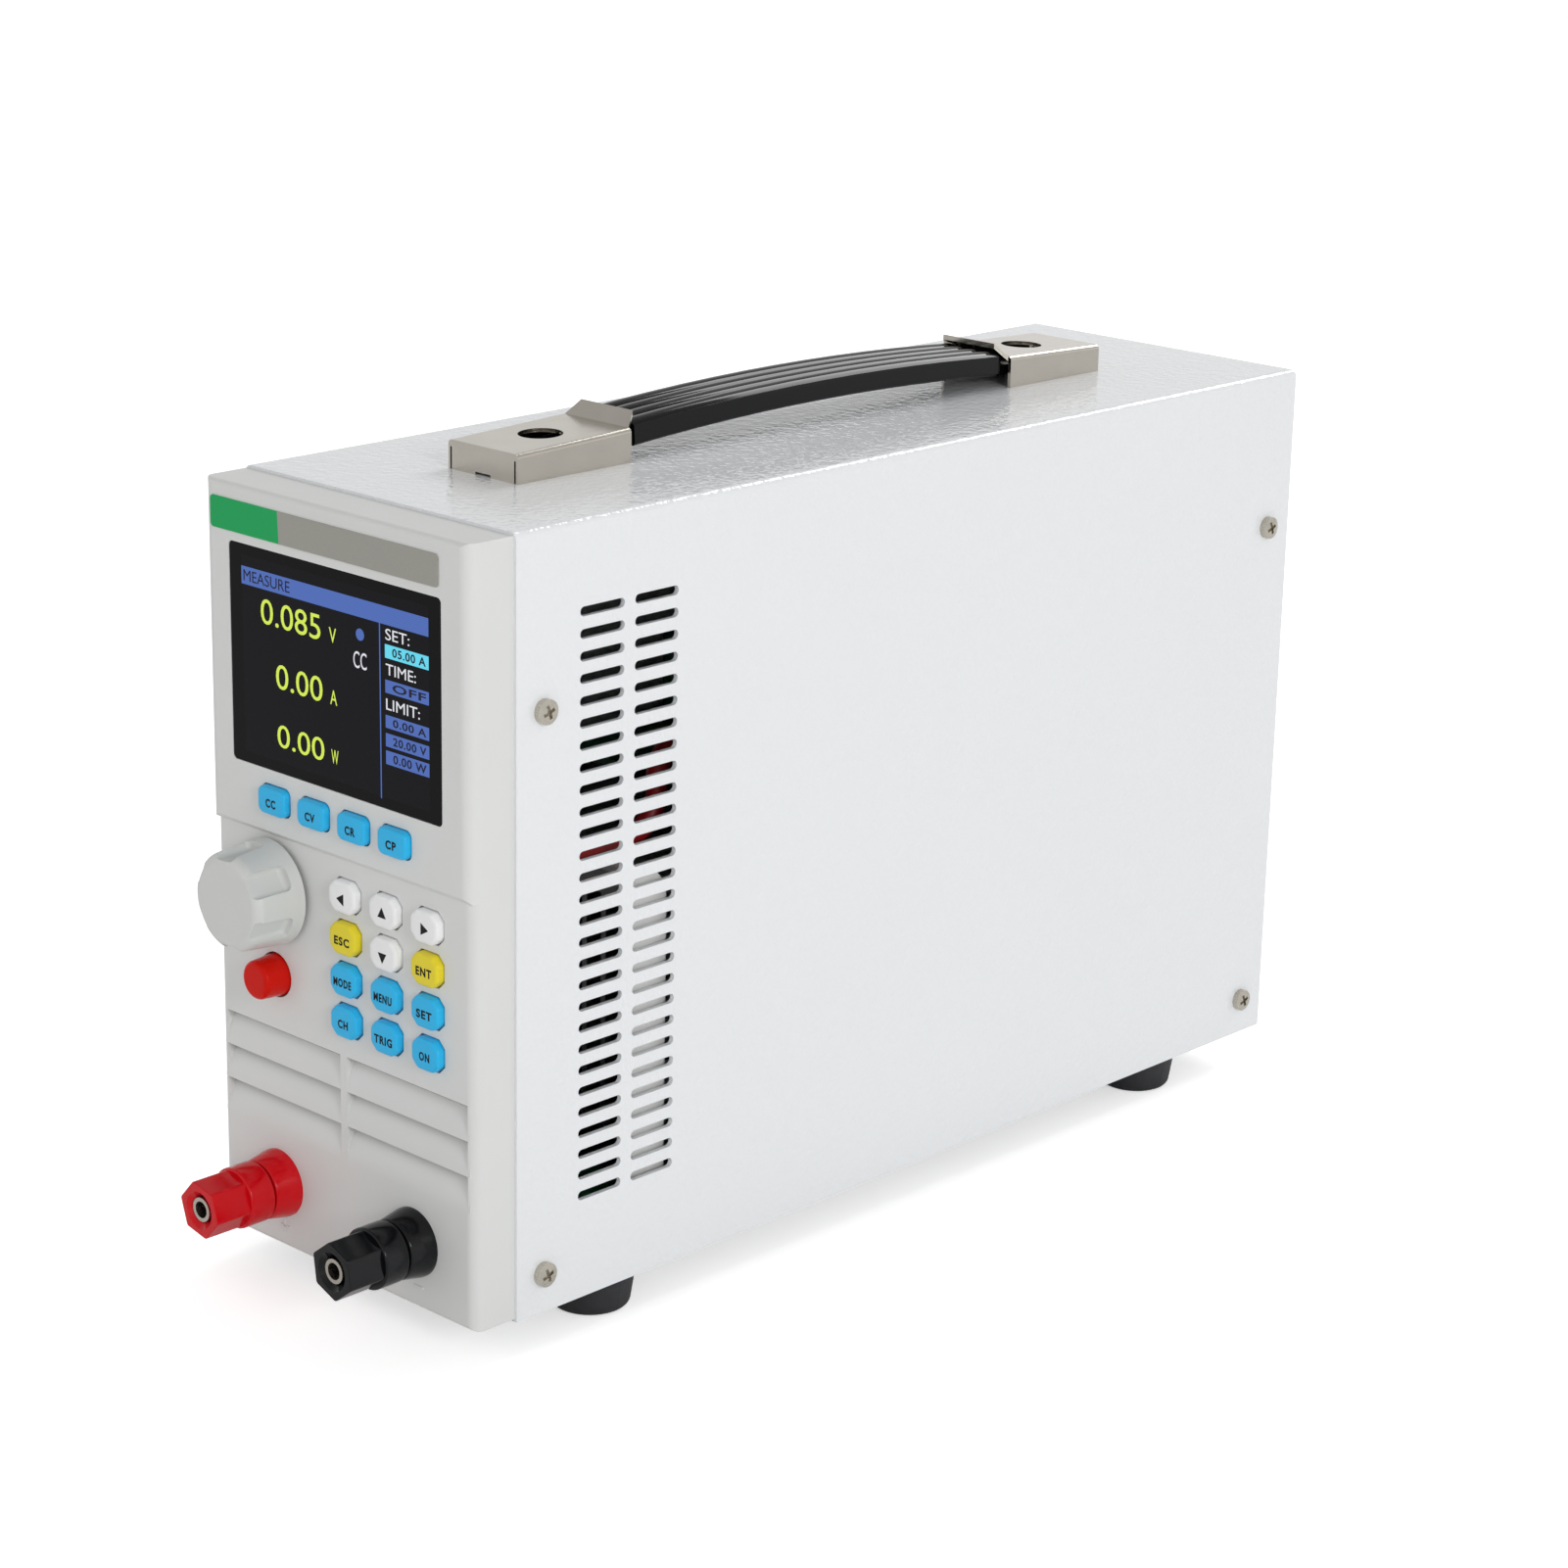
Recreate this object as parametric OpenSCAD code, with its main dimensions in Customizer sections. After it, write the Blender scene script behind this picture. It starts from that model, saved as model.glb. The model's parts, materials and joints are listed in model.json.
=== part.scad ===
// Bench DC electronic load: a tall steel case with a moulded front bezel, a carrying strap,
// a keypad, an encoder knob, two binding posts and a fan-cooled heatsink.
// Millimetres. +Z is up, the front faces -Y. The origin is under the middle of the part, at the foot soles.

/* [Case] */
// Width of the case across its side walls
case_w = 90; // [88:0.5:110]
// Height of the case without its feet
case_h = 181.4; // [178:0.2:210]
// Depth from the bezel's upper face to the cover's rear edge
case_d = 287.5; // [270:0.5:340]
// Sheet thickness of the cover, tray, frame and rear panel
sheet_t = 1.2; // [1:0.1:1.5]
// Outer radius along the cover's two top edges
cover_r = 1.8; // [1.6:0.1:4]
// Depth of the rear panel behind the cover's rear edge
rear_recess = 5.5; // [5:0.5:10]
// Gap between the cover and the metalwork inside it
cover_gap = 0.1; // [0.05:0.05:0.3]
// Depth of the folded flanges on the front frame and rear panel
flange_d = 14; // [12:1:18]
// Height of the tray's folded side flanges
tray_flange_h = 12; // [8:1:20]

/* [Side vents] */
// Length of one vent slot
vent_l = 13.3; // [8:0.1:15]
// Height of one vent slot
vent_h = 2.2; // [1.5:0.1:3]
// Distance of the highest slot below the case top
vent_top_in = 20.4; // [18:0.1:30]
// Number of slot rows
vent_rows = 28; // [10:1:29]
// Distance between the two slot columns
vent_column_pitch = 16.5; // [15.5:0.1:24]
// Middle of the first slot column behind the bezel face
vent_y = 38.1; // [32:0.1:60]
// Height of the lowest slot above the case bottom
vent_z = 25; // [20:0.5:30]

/* [Cover screws] */
// Shank diameter of the M3 screws
screw_d = 2.9; // [2.5:0.1:3]
// Head diameter of the M3 screws
screw_head_d = 5.7; // [5:0.1:6.5]
// Head height of the M3 screws
screw_head_h = 1.9; // [1.5:0.1:2.4]
// Shank length of the cover screws
screw_l = 5; // [4:0.5:5]
// Radial clearance of a screw in its hole
screw_gap = 0.15; // [0.1:0.05:0.4]
// Distance of the front screw column behind the bezel face
screw_front_y = 20.8; // [18:0.1:26]
// Distance of the rear screw column in front of the cover's rear edge
screw_rear_in = 9.2; // [9:0.1:16]
// Height of the lower screw row above the case bottom
screw_low_z = 9.6; // [8:0.1:20]
// Height of the upper screw row above the case bottom
screw_high_z = 141; // [100:0.5:170]

/* [Feet] */
// Height of a rubber foot
foot_h = 8.6; // [6:0.1:14]
// Radius of a foot where it meets the case
foot_r = 10.5; // [8:0.1:12]
// Radius of the flat sole's rounded edge
foot_edge_r = 2; // [1:0.1:3]
// Inward slope of a foot from top to sole
foot_taper = 1; // [0.2:0.1:2]
// Distance of a foot inside the case's side
foot_side_in = 0.1; // [0:0.1:12]
// Distance of the front feet behind the bezel face
foot_front_y = 45.5; // [36:0.5:80]
// Distance of the rear feet in front of the cover's rear edge
foot_rear_in = 40.5; // [30:0.5:80]
// Shank diameter of a foot screw
foot_screw_d = 3.9; // [3:0.1:4.5]
// Head diameter of a foot screw
foot_screw_head_d = 7; // [6:0.1:8]
// Head height of a foot screw
foot_screw_head_h = 2.4; // [2:0.1:3]
// Rubber left between a foot screw's head and the case
foot_web = 4; // [3:0.1:4.5]

/* [Carrying strap] */
// Middle of the handle behind the bezel face
handle_y = 145.5; // [140:0.5:170]
// Length over both end caps
handle_l = 203; // [180:1:230]
// Length of one end cap
cap_l = 35; // [30:0.5:40]
// Width of an end cap
cap_w = 23; // [21:0.5:30]
// Height of an end cap at its outer wall
cap_outer_h = 6.8; // [6.6:0.1:8]
// Height of an end cap where the strap leaves it
cap_inner_h = 8; // [7.6:0.1:10]
// Sheet thickness of an end cap
cap_t = 0.9; // [0.6:0.1:1]
// Radius of an end cap's top edges
cap_edge_r = 1.1; // [1.05:0.05:1.5]
// Width of the slits at an end cap's outer corners
slit_w = 0.5; // [0.3:0.1:0.8]
// Width of the notch under an end cap's outer wall
notch_w = 5; // [3:0.5:8]
// Height of the notch under an end cap's outer wall
notch_h = 0.7; // [0.4:0.1:1.2]
// Diameter of the screw opening in an end cap
cap_hole_d = 10.4; // [9.6:0.1:11]
// Length of the lip that turns up over the strap
cap_lip_l = 4.6; // [3:0.1:6]
// Width of the lip at its free edge
cap_lip_w = 17; // [12:0.5:19]
// Width of the strap
strap_w = 19.4; // [16:0.2:20]
// Thickness of the strap at its sides
strap_t = 5.2; // [4:0.1:5.4]
// Height of the ridges along the strap's top
ridge_h = 0.9; // [0.5:0.1:1.2]
// Margin left beside the ridges
ridge_in = 0.2; // [0.1:0.05:0.4]
// Number of ridges along the strap's top
ridge_count = 4; // [3:1:6]
// Height of the strap's underside above the case at mid span
strap_rise = 5.4; // [5:0.1:9]
// Thickness of the strap's tab inside an end cap
tab_t = 2.4; // [2:0.1:2.6]
// Step of the tab inside the strap's outline
tab_step = 0.5; // [0.3:0.1:1]
// Distance of the tab's end inside an end cap's outer wall
tab_in = 6; // [4:0.5:8]
// Height of the tab's end above the case
tab_lift = 0.2; // [0.1:0.05:0.4]
// Depth of the screw's spot face in the tab
spot_depth = 0.6; // [0.3:0.1:0.8]
// Gap between the strap and an end cap's lip
lip_gap = 0.3; // [0.2:0.05:0.5]
// Shank diameter of a handle screw
handle_screw_d = 4.8; // [4:0.1:5]
// Head diameter of a handle screw
handle_screw_head_d = 8.8; // [8:0.1:9]
// Head height of a handle screw
handle_screw_head_h = 2.2; // [1.8:0.1:2.6]
// Reach of a handle screw below the strap's tab
handle_screw_l = 7; // [5:0.5:12]

/* [Bezel] */
// Depth of the bezel's side walls
bezel_d = 12.8; // [12.4:0.1:15]
// Step of the bezel inside the cover's outline
bezel_inset = 0.7; // [0.3:0.1:1.5]
// Wall thickness of the bezel
bezel_t = 2.2; // [1.8:0.1:2.4]
// Radius of the bezel's two upright front edges
bezel_r = 3; // [2.6:0.1:5]
// Radius of the bezel's top and bottom front edges
bezel_edge_r = 1.2; // [0.5:0.1:2]
// How far the upper face stands proud of the lower face
face_step = 1.25; // [0.8:0.05:1.6]
// Height of the step between the two faces, as a share of the case height
step_at = 0.5645; // [0.56:0.0005:0.57]
// Diameter of a screw boss inside the bezel
boss_d = 6.4; // [6:0.1:7]
// Depth of the screw hole in a boss
boss_hole_l = 7; // [6:0.1:8]
// How far a boss runs into the walls beside it
boss_bite = 0.6; // [0.3:0.1:1]

/* [Display] */
// Width of the window lens
window_w = 70.9; // [60:0.1:76]
// Height of the window lens
window_h = 50.5; // [46:0.1:52]
// Height of the window's middle, as a share of the case height
window_at = 0.78445; // [0.784:0.00005:0.8]
// Corner radius of the window lens
window_r = 1.2; // [0.6:0.1:3]
// Thickness of the window lens
lens_t = 1.4; // [1:0.1:1.5]
// Width of the ledge that carries the lens
lens_ledge = 1.6; // [1:0.1:2.5]
// Depth of the lens below the upper face
lens_sink = 0.15; // [0:0.05:0.3]
// Gap round the lens
lens_gap = 0.1; // [0.05:0.05:0.2]
// Thickness of the display module
lcd_t = 4.4; // [3:0.1:5]
// Overhang of the display module past the ledge's opening
lcd_lap = 1.4; // [1:0.1:2]

/* [Keys] */
// Width of a mode key under the display
mode_w = 9.4; // [8:0.1:11]
// Height of a mode key
mode_h = 6.4; // [5:0.1:7]
// Corner radius of a mode key
mode_r = 1.8; // [0.8:0.1:2]
// How far a mode key stands proud
mode_rise = 1.8; // [1.2:0.1:3]
// Distance between mode keys
mode_pitch = 13.67; // [13:0.01:16]
// Height of the mode keys, as a share of the case height
mode_at = 0.6075; // [0.605:0.0005:0.61]
// Width of a keypad key
pad_w = 8.9; // [8:0.1:10]
// Height of a keypad key
pad_h = 7.4; // [6.5:0.1:7.8]
// Corner cut of a keypad key
pad_cut = 1.9; // [1:0.1:2.5]
// How far a keypad key stands proud
pad_rise = 2; // [1.2:0.1:3]
// Distance between keypad columns
pad_pitch_x = 13.75; // [13:0.05:14]
// Distance between keypad rows, as a share of the case height
pad_row_share = 0.05441; // [0.054:0.00001:0.055]
// Middle column of the keypad
pad_x = 16; // [15:0.1:17]
// Height of the lowest keypad row, as a share of the case height
pad_at = 0.3495; // [0.345:0.0005:0.352]
// Gap between a key and its aperture
key_gap = 0.3; // [0.2:0.05:0.4]
// Gap between a key's rim and the bezel's inner face
rim_gap = 0.15; // [0.1:0.05:0.25]
// Depth of a key's stem behind its rim
key_stem_l = 0.5; // [0.3:0.1:1]
// Side length of a key's stem
key_stem_s = 4; // [3:0.1:5]
// Travel of a key
key_travel = 0.8; // [0.4:0.1:1]
// Overhang of a key's rim behind the bezel
key_rim = 0.6; // [0.4:0.1:0.6]
// Thickness of a key's rim
key_rim_t = 0.9; // [0.6:0.1:1]
// Radius of a key's front edges
key_edge_r = 0.6; // [0.2:0.05:0.9]
// Gap between a pressed key and its switch
key_over_gap = 0.1; // [0.05:0.05:0.2]
// Side length of a tact switch body
switch_s = 6; // [5:0.5:6]
// Depth of a tact switch body
switch_t = 3.5; // [3:0.1:4]
// Depth of a tact switch plunger
plunger_t = 0.8; // [0.5:0.1:1]
// Diameter of a tact switch plunger
plunger_d = 3.4; // [3:0.1:3.5]
// Thickness of the circuit boards
board_t = 1.6; // [1.2:0.1:2]
// Gap between the front board and the bezel's sides
board_gap = 2.4; // [1:0.1:5]
// Reach of the front board above the window
board_lap = 0.5; // [0:0.5:2]

/* [Knob and power button] */
// Distance of the knob, button and red post from the middle
control_x = 23.4; // [22.5:0.1:24]
// Height of the knob's middle, as a share of the case height
knob_at = 0.48567; // [0.48:0.00001:0.487]
// Radius of the knob at its base
knob_r = 12.5; // [11:0.1:13]
// Radius of the knob at its front
knob_tip_r = 11.4; // [9.5:0.1:11.6]
// Length of the knob
knob_l = 12.9; // [11:0.1:16]
// Radius of the knob's front edge
knob_edge_r = 2.2; // [1:0.1:3]
// Gap between the knob and the lower face
knob_gap = 1.2; // [0.6:0.1:2]
// Number of finger flutes round the knob
flute_count = 8; // [6:1:12]
// Radius of a finger flute
flute_r = 4.6; // [3:0.1:6]
// Depth of a finger flute
flute_depth = 1.5; // [0.8:0.1:2]
// Plain rim left at the knob's base
knob_rim = 3; // [2:0.1:4]
// Wall thickness of the knob
knob_wall = 2.2; // [2:0.1:2.6]
// Diameter of the encoder's shaft
shaft_d = 6; // [5.5:0.1:6.2]
// Running clearance round the encoder's shaft
shaft_gap = 0.05; // [0.02:0.01:0.08]
// Diameter of the encoder's bushing
bushing_d = 9; // [8:0.1:9.4]
// Gap round the bushing in the bezel
bushing_gap = 0.2; // [0.1:0.05:0.4]
// Side length of the encoder's body
encoder_s = 12.5; // [11:0.1:13]
// Gap between the encoder's body and the bezel's inner face
encoder_gap = 0.6; // [0.3:0.1:1]
// Distance of the shaft's rear end in front of the circuit board
shaft_in = 1.3; // [0.8:0.1:2]
// Gap at each end of the encoder's shaft
shaft_end_gap = 0.2; // [0.1:0.05:0.3]
// Height of the power button's middle, as a share of the case height
button_at = 0.3732; // [0.37:0.0001:0.377]
// Radius of the power button
button_r = 5.1; // [4.5:0.1:5.6]
// How far the power button stands proud
button_rise = 6.4; // [4.5:0.1:7]
// Radius of the power button's front edge
button_edge_r = 0.9; // [0.5:0.1:1.5]
// Travel of the power button
button_travel = 2.5; // [1.5:0.1:2.6]
// Diameter of the power button's stem
stem_d = 3; // [2.5:0.1:3.5]
// Gap round the power button's stem
stem_gap = 0.3; // [0.2:0.05:0.4]
// Side length of the power switch's body
power_switch_s = 8.5; // [7:0.1:9]

/* [Louvres] */
// Number of louvre blades in a column
louvre_rows = 3; // [2:1:3]
// Margin of the louvres inside the bezel's sides
louvre_in = 2.55; // [2.4:0.05:6]
// Width of the mullion between the louvre columns
mullion_w = 2.3; // [2:0.1:3]
// Height of the upper edge of the louvres, as a share of the case height
louvre_at = 0.2999; // [0.293:0.0001:0.302]
// Distance between louvre blades
louvre_pitch = 8.37; // [7.5:0.01:8.5]
// Depth of a louvre at its upper edge
louvre_depth = 4.1; // [3:0.1:4.5]
// Thickness of a louvre blade
blade_skin = 1.4; // [1:0.1:1.6]
// Height of the slit over the top blade
louvre_slit = 1.6; // [1:0.1:2.4]

/* [Binding posts] */
// Height of the posts, as a share of the case height
post_at = 0.09041; // [0.083:0.00001:0.093]
// Reach of the posts in front of the upper face
post_reach = 22.5; // [21:0.1:26]
// Radius of the insulator at the bezel
post_base_r = 8.2; // [7.5:0.1:9]
// Radius of the insulator where the cap meets it
post_neck_r = 7.1; // [6.5:0.1:7.4]
// Length of the insulator's straight foot at the bezel
post_foot_l = 0.8; // [0.4:0.1:1.5]
// Wall thickness of the insulator's spigot through the bezel
spigot_t = 1.6; // [1.2:0.1:2]
// Length of the insulator in front of the lower face
post_base_l = 6.7; // [5:0.1:8]
// Gap between the insulator and a tightened cap
post_seat_gap = 0.5; // [0.3:0.1:0.8]
// Radius of the cap's round skirt
skirt_r = 7.25; // [6.8:0.05:7.8]
// Length of the cap's round skirt
skirt_l = 6.8; // [5:0.1:8]
// Radius of the skirt's front edge
skirt_edge_r = 0.6; // [0.3:0.1:1]
// Depth of the cap's coned mouth
mouth_l = 1.3; // [0.8:0.1:1.8]
// Radius of the cap's hexagon across its corners
hex_r = 6.5; // [6:0.1:6.8]
// Turn of the red cap about its axis
red_cap_turn = 48; // [0:1:59]
// Turn of the black cap about its axis
black_cap_turn = 38; // [0:1:59]
// Diameter of the metal stud
stud_d = 5.8; // [5.4:0.1:6]
// Diameter of the 4 mm plug socket in the stud
socket_d = 4; // [3.9:0.05:4.2]
// Depth of the plug socket
socket_l = 20; // [16:0.5:21]
// Depth of the stud's mouth inside the cap
stud_sink = 0.6; // [0.3:0.1:1]
// Length of the stud behind the lower face
stud_tail = 16; // [14.5:0.5:17]
// Diameter of the threaded insert in the cap
insert_d = 9; // [8.6:0.1:9.6]
// Length of the threaded insert in the cap
insert_l = 8; // [6:0.5:9]
// Running clearance on the stud and round the insert
thread_gap = 0.05; // [0.02:0.01:0.08]
// Thickness of the lead's lug between the stud's nuts
lug_t = 1.2; // [0.8:0.1:1.5]
// Thickness of a stud nut
nut_t = 4; // [3:0.1:4.5]
// Width of a stud nut across its flats
nut_w = 10; // [9:0.5:11]

/* [Fan] */
// Gap between the fan frame and the case's sides
fan_side_in = 5; // [5:0.5:12]
// Depth of the fan frame
fan_t = 25; // [22:1:26]
// Height of the fan's lower edge above the case bottom
fan_low_z = 8; // [6:0.5:10]
// Distance of the fan's screws inside its edges
fan_hole_in = 4.25; // [4:0.05:5]
// Least wall of the fan frame round its bore
fan_wall = 2; // [1.5:0.1:4]
// Corner radius of the fan frame
fan_corner_r = 4; // [2:0.5:5]
// Radius of the rotor's hub
hub_r = 18; // [15:0.5:20]
// Radius of the hub's rear edge
hub_edge_r = 2; // [1:0.1:4]
// Gap between blade tips and bore
tip_gap = 1; // [0.6:0.1:1.5]
// Number of fan blades
fan_blades = 7; // [5:1:9]
// Thickness of a fan blade
fan_blade_t = 1.5; // [1:0.1:2]
// Distance of the blades inside the hub's ends
blade_in = 0.5; // [0.3:0.1:3]
// Camber radius of a fan blade
camber_r = 26; // [20:1:40]
// Half angle of a fan blade's arc
camber_half = 20; // [14:1:22]
// Angle of a fan blade to the rotor's plane
blade_pitch = 42; // [30:1:50]
// Wire diameter of the fan guard
wire_d = 1.6; // [1.2:0.1:2]
// Number of rings in the fan guard
guard_rings = 5; // [4:1:6]
// Diameter of the rotor's shaft
rotor_shaft_d = 3; // [2.5:0.1:4]
// Running clearance round the rotor's shaft
rotor_gap = 0.05; // [0.02:0.01:0.08]
// Gap between the rotor and the spider
rotor_end_gap = 0.5; // [0.3:0.1:1]
// Thickness of the spider that carries the rotor
spider_t = 3; // [2:0.1:4]
// Width of a strut of the spider
strut_w = 3; // [2:0.1:5]
// Thickness of a strut of the spider
strut_t = 2.4; // [1.5:0.1:2.8]

/* [Rear connectors] */
// Gap round a connector in the rear panel
cutout_gap = 0.2; // [0.1:0.05:0.4]
// Distance of the mains inlet's middle from the case's left side
inlet_in = 30; // [29:0.5:33]
// Distance of the mains inlet's middle below the case top
inlet_drop = 59.4; // [55.4:0.5:63.4]
// Width of the inlet's flange
inlet_flange_w = 50; // [48:0.5:54]
// Height of the inlet's flange
inlet_flange_h = 33; // [32:0.5:36]
// Thickness of the inlet's flange
inlet_flange_t = 2.5; // [2:0.1:3]
// Wall thickness of the inlet's body
inlet_wall = 2; // [1.5:0.1:2.5]
// Distance of the inlet's screws inside its flange
inlet_screw_in = 5; // [4:0.5:6]
// Depth of the inlet's body behind the panel
inlet_body_d = 24; // [22:0.5:28]
// Width of the plug cavity
inlet_cavity_w = 24.2; // [24:0.1:24.6]
// Height of the plug cavity
inlet_cavity_h = 16.2; // [16:0.1:16.6]
// Depth of the plug cavity
inlet_cavity_d = 16; // [14:0.5:17]
// Width of the fuse drawer
drawer_w = 22; // [18:0.5:23]
// Height of the fuse drawer
drawer_h = 6.4; // [6:0.1:7]
// Gap round the fuse drawer
drawer_gap = 0.2; // [0.1:0.05:0.3]
// Length of the fuse drawer
drawer_l = 19; // [18:0.5:20]
// Gap behind the fuse drawer
drawer_end_gap = 1; // [0.5:0.1:2]
// Distance of the voltage selector's middle from the case's right side
selector_in = 18; // [16:0.5:19]
// Depth of the selector's body behind the panel
selector_body_d = 14; // [10:0.5:16]
// Wall thickness of the selector's body
selector_wall = 1.5; // [1:0.1:2]
// Gap round the selector's slider
selector_gap = 0.2; // [0.1:0.05:0.3]
// Width of the selector's flange
selector_w = 14; // [13:0.5:15]
// Height of the selector's flange
selector_h = 31; // [30:0.5:33]
// Travel of the selector's slider
selector_travel = 5; // [3:0.5:6]
// Distance of the serial port's middle below the case top
serial_drop = 23.4; // [21.4:0.5:27.4]
// Width of the serial port's mounting flange
serial_flange_w = 31; // [28:0.5:33]
// Width of the serial port's shell
serial_w = 17; // [16:0.2:18]
// Height of the serial port's shell
serial_h = 8.4; // [8:0.1:9]
// Reach of the serial port's shell behind the panel's outer face
serial_reach = 4.6; // [4:0.1:4.8]

/* [Inside] */
// Height of the air shroud above the tray
duct_h = 96; // [92:1:97]
// Wall thickness of the air shroud
duct_t = 1.5; // [1:0.1:2]
// Distance of the air shroud behind the bezel face
duct_y = 50; // [50:0.5:54]
// Length of the air shroud
duct_l = 12; // [8:0.5:14]
// Radius of the air shroud's rear upper corners
duct_r = 9; // [4:0.5:9]
// Height of the heatsink's base above the tray
sink_h = 82; // [76:1:84]
// Distance of the heatsink's sides inside the fan's sides
sink_side_in = 1.5; // [1:0.5:4]
// Thickness of the heatsink's base
sink_base_t = 6; // [4:0.5:8]
// Length of the heatsink's fins
fin_h = 60; // [40:1:70]
// Thickness of a heatsink fin
fin_t = 1.5; // [1:0.1:2.5]
// Number of heatsink fins
fin_count = 13; // [8:1:15]
// Gap between the air shroud and the heatsink
sink_in = 2; // [1:0.5:4]
// Distance of the main board behind the heatsink's front end
main_board_in = 30; // [28:1:34]
// Gap between the heatsink and the fan
sink_fan_gap = 6; // [4:0.5:10]
// Height of the input board above the tray
input_board_h = 16; // [14:0.5:17]
// Depth of the input board
input_board_d = 28; // [24:0.5:29]
// Height of the main board above the heatsink
main_board_h = 12; // [8:0.5:14]
// Gap between the main board and what stands before and behind it
board_end_gap = 8; // [6:0.5:10]
// Length of the main board
main_board_l = 96; // [80:1:100]
// Distance of a board's screws inside its edges
board_screw_in = 5; // [4:0.5:6]
// Width of a power transistor
mosfet_w = 16; // [15:0.5:20]
// Length of a power transistor
mosfet_l = 21; // [18:0.5:22]
// Thickness of a power transistor
mosfet_t = 5; // [4:0.1:5.4]
// Diameter of the main board's capacitors
capacitor_d = 12.5; // [10:0.5:13]
// Height of the main board's capacitors
capacitor_h = 22; // [16:1:26]
// Side length of a relay
relay_s = 16; // [14:0.5:18]
// Width of the transformer's core
core_w = 48; // [40:1:54]
// Thickness of the transformer's core
core_l = 24; // [20:1:26]
// Height of the transformer's core
core_h = 40; // [34:1:44]
// Diameter of the load leads
lead_d = 5; // [4:0.1:5.4]
// Distance of the red lead's upper run inside the case's side
lead_side_in = 9.8; // [8:0.1:12]
// Length of the red lead's upper run in front of the main board
lead_run = 28; // [27:0.5:30]
// Bend radius of the load leads
lead_bend = 9; // [8:0.5:9]
// Width of the lead terminal block
lead_block_w = 24; // [22:0.5:26]
// Height of the lead terminal block
lead_block_h = 26; // [24:0.5:32]

/* [Hidden] */
$fn = 48;
eps = 0.01;
screw_rows = [screw_low_z, screw_high_z];
vent_row_pitch = (case_h - vent_z - vent_top_in) / (vent_rows - 1);
foot_x = case_w / 2 - foot_r - foot_side_in;
step_z = step_at * case_h;
window_z = window_at * case_h;
mode_z = mode_at * case_h;
pad_z = pad_at * case_h;
pad_pitch_z = pad_row_share * case_h;
knob_z = knob_at * case_h;
button_z = button_at * case_h;
louvre_top_z = louvre_at * case_h;
post_z = post_at * case_h;

face_y = (post_reach - case_d) / 2;
inner_w = case_w - 2 * sheet_t - 2 * cover_gap;
inner_h = case_h - sheet_t - cover_gap;
rear_y = case_d - rear_recess;
rear_in_y = rear_y - sheet_t;
frame_y = bezel_d + sheet_t;
screw_rear_y = case_d - screw_rear_in;
foot_rear_y = case_d - foot_rear_in;
hole_r = screw_d / 2 + screw_gap;
recess_share = 0.58;
recess_turn = 20;

lower_y = face_step;
upper_in_y = bezel_t;
lower_in_y = face_step + bezel_t;
bezel_w = case_w - 2 * bezel_inset;
bezel_z0 = bezel_inset;
bezel_z1 = case_h - bezel_inset;
boss_in = bezel_t + boss_d / 2 - boss_bite;
boss_x = bezel_w / 2 - boss_in;
boss_rows = [bezel_z0 + boss_in, bezel_z1 - boss_in];
louvre_z0 = louvre_top_z - louvre_rows * louvre_pitch;
louvre_h = louvre_rows * louvre_pitch;
louvre_w = (bezel_w - mullion_w) / 2 - louvre_in;
louvre_x = (louvre_w + mullion_w) / 2;
louvre_r = (pow(louvre_depth, 2) + pow(louvre_pitch, 2)) / (2 * louvre_depth);

key_back_y = lower_in_y + rim_gap + key_rim_t + key_stem_l;
plunger_y = key_back_y + key_travel + key_over_gap;
switch_y = plunger_y + plunger_t;
board_y = switch_y + switch_t;
board_z0 = pad_z - pad_h;
board_z1 = window_z + window_h / 2 + board_lap;
board_w = bezel_w - 2 * bezel_t - 2 * board_gap;
lens_back_y = lens_sink + lens_t;
lcd_w = window_w - 2 * lens_ledge + 2 * lcd_lap;
lcd_h = window_h - 2 * lens_ledge + 2 * lcd_lap;
mode_names = ["cc", "cv", "cr", "cp"];
pad_names = [
    ["channel", "trigger", "on"],
    ["mode", "menu", "set"],
    ["escape", "down", "enter"],
    ["left", "up", "right"]
];
pad_colors = [
    ["deepskyblue", "deepskyblue", "deepskyblue"],
    ["deepskyblue", "deepskyblue", "deepskyblue"],
    ["gold", "white", "gold"],
    ["white", "white", "white"]
];

knob_y = lower_y - knob_gap;
flute_x = knob_tip_r + flute_r - flute_depth;
flute_end = knob_rim + sqrt(pow(flute_r, 2) - pow(flute_x - knob_r, 2));
encoder_y = lower_in_y + encoder_gap;
shaft_front = knob_y - knob_l + 2 * knob_wall;
shaft_back_y = board_y - shaft_in;
button_back_y = lower_in_y - stem_gap;
power_switch_y = button_back_y + button_travel + stem_gap;
stem_back_y = board_y + board_t - button_travel - stem_gap;

cap_back_y = lower_y - post_base_l - post_seat_gap;
hex_back_y = cap_back_y - skirt_l;
cap_tip_y = -post_reach;
stud_tip_y = cap_tip_y + stud_sink;
stud_back_y = lower_y + stud_tail;
insert_y = cap_back_y - insert_l;
spigot_r = stud_d / 2 + spigot_t;

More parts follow.
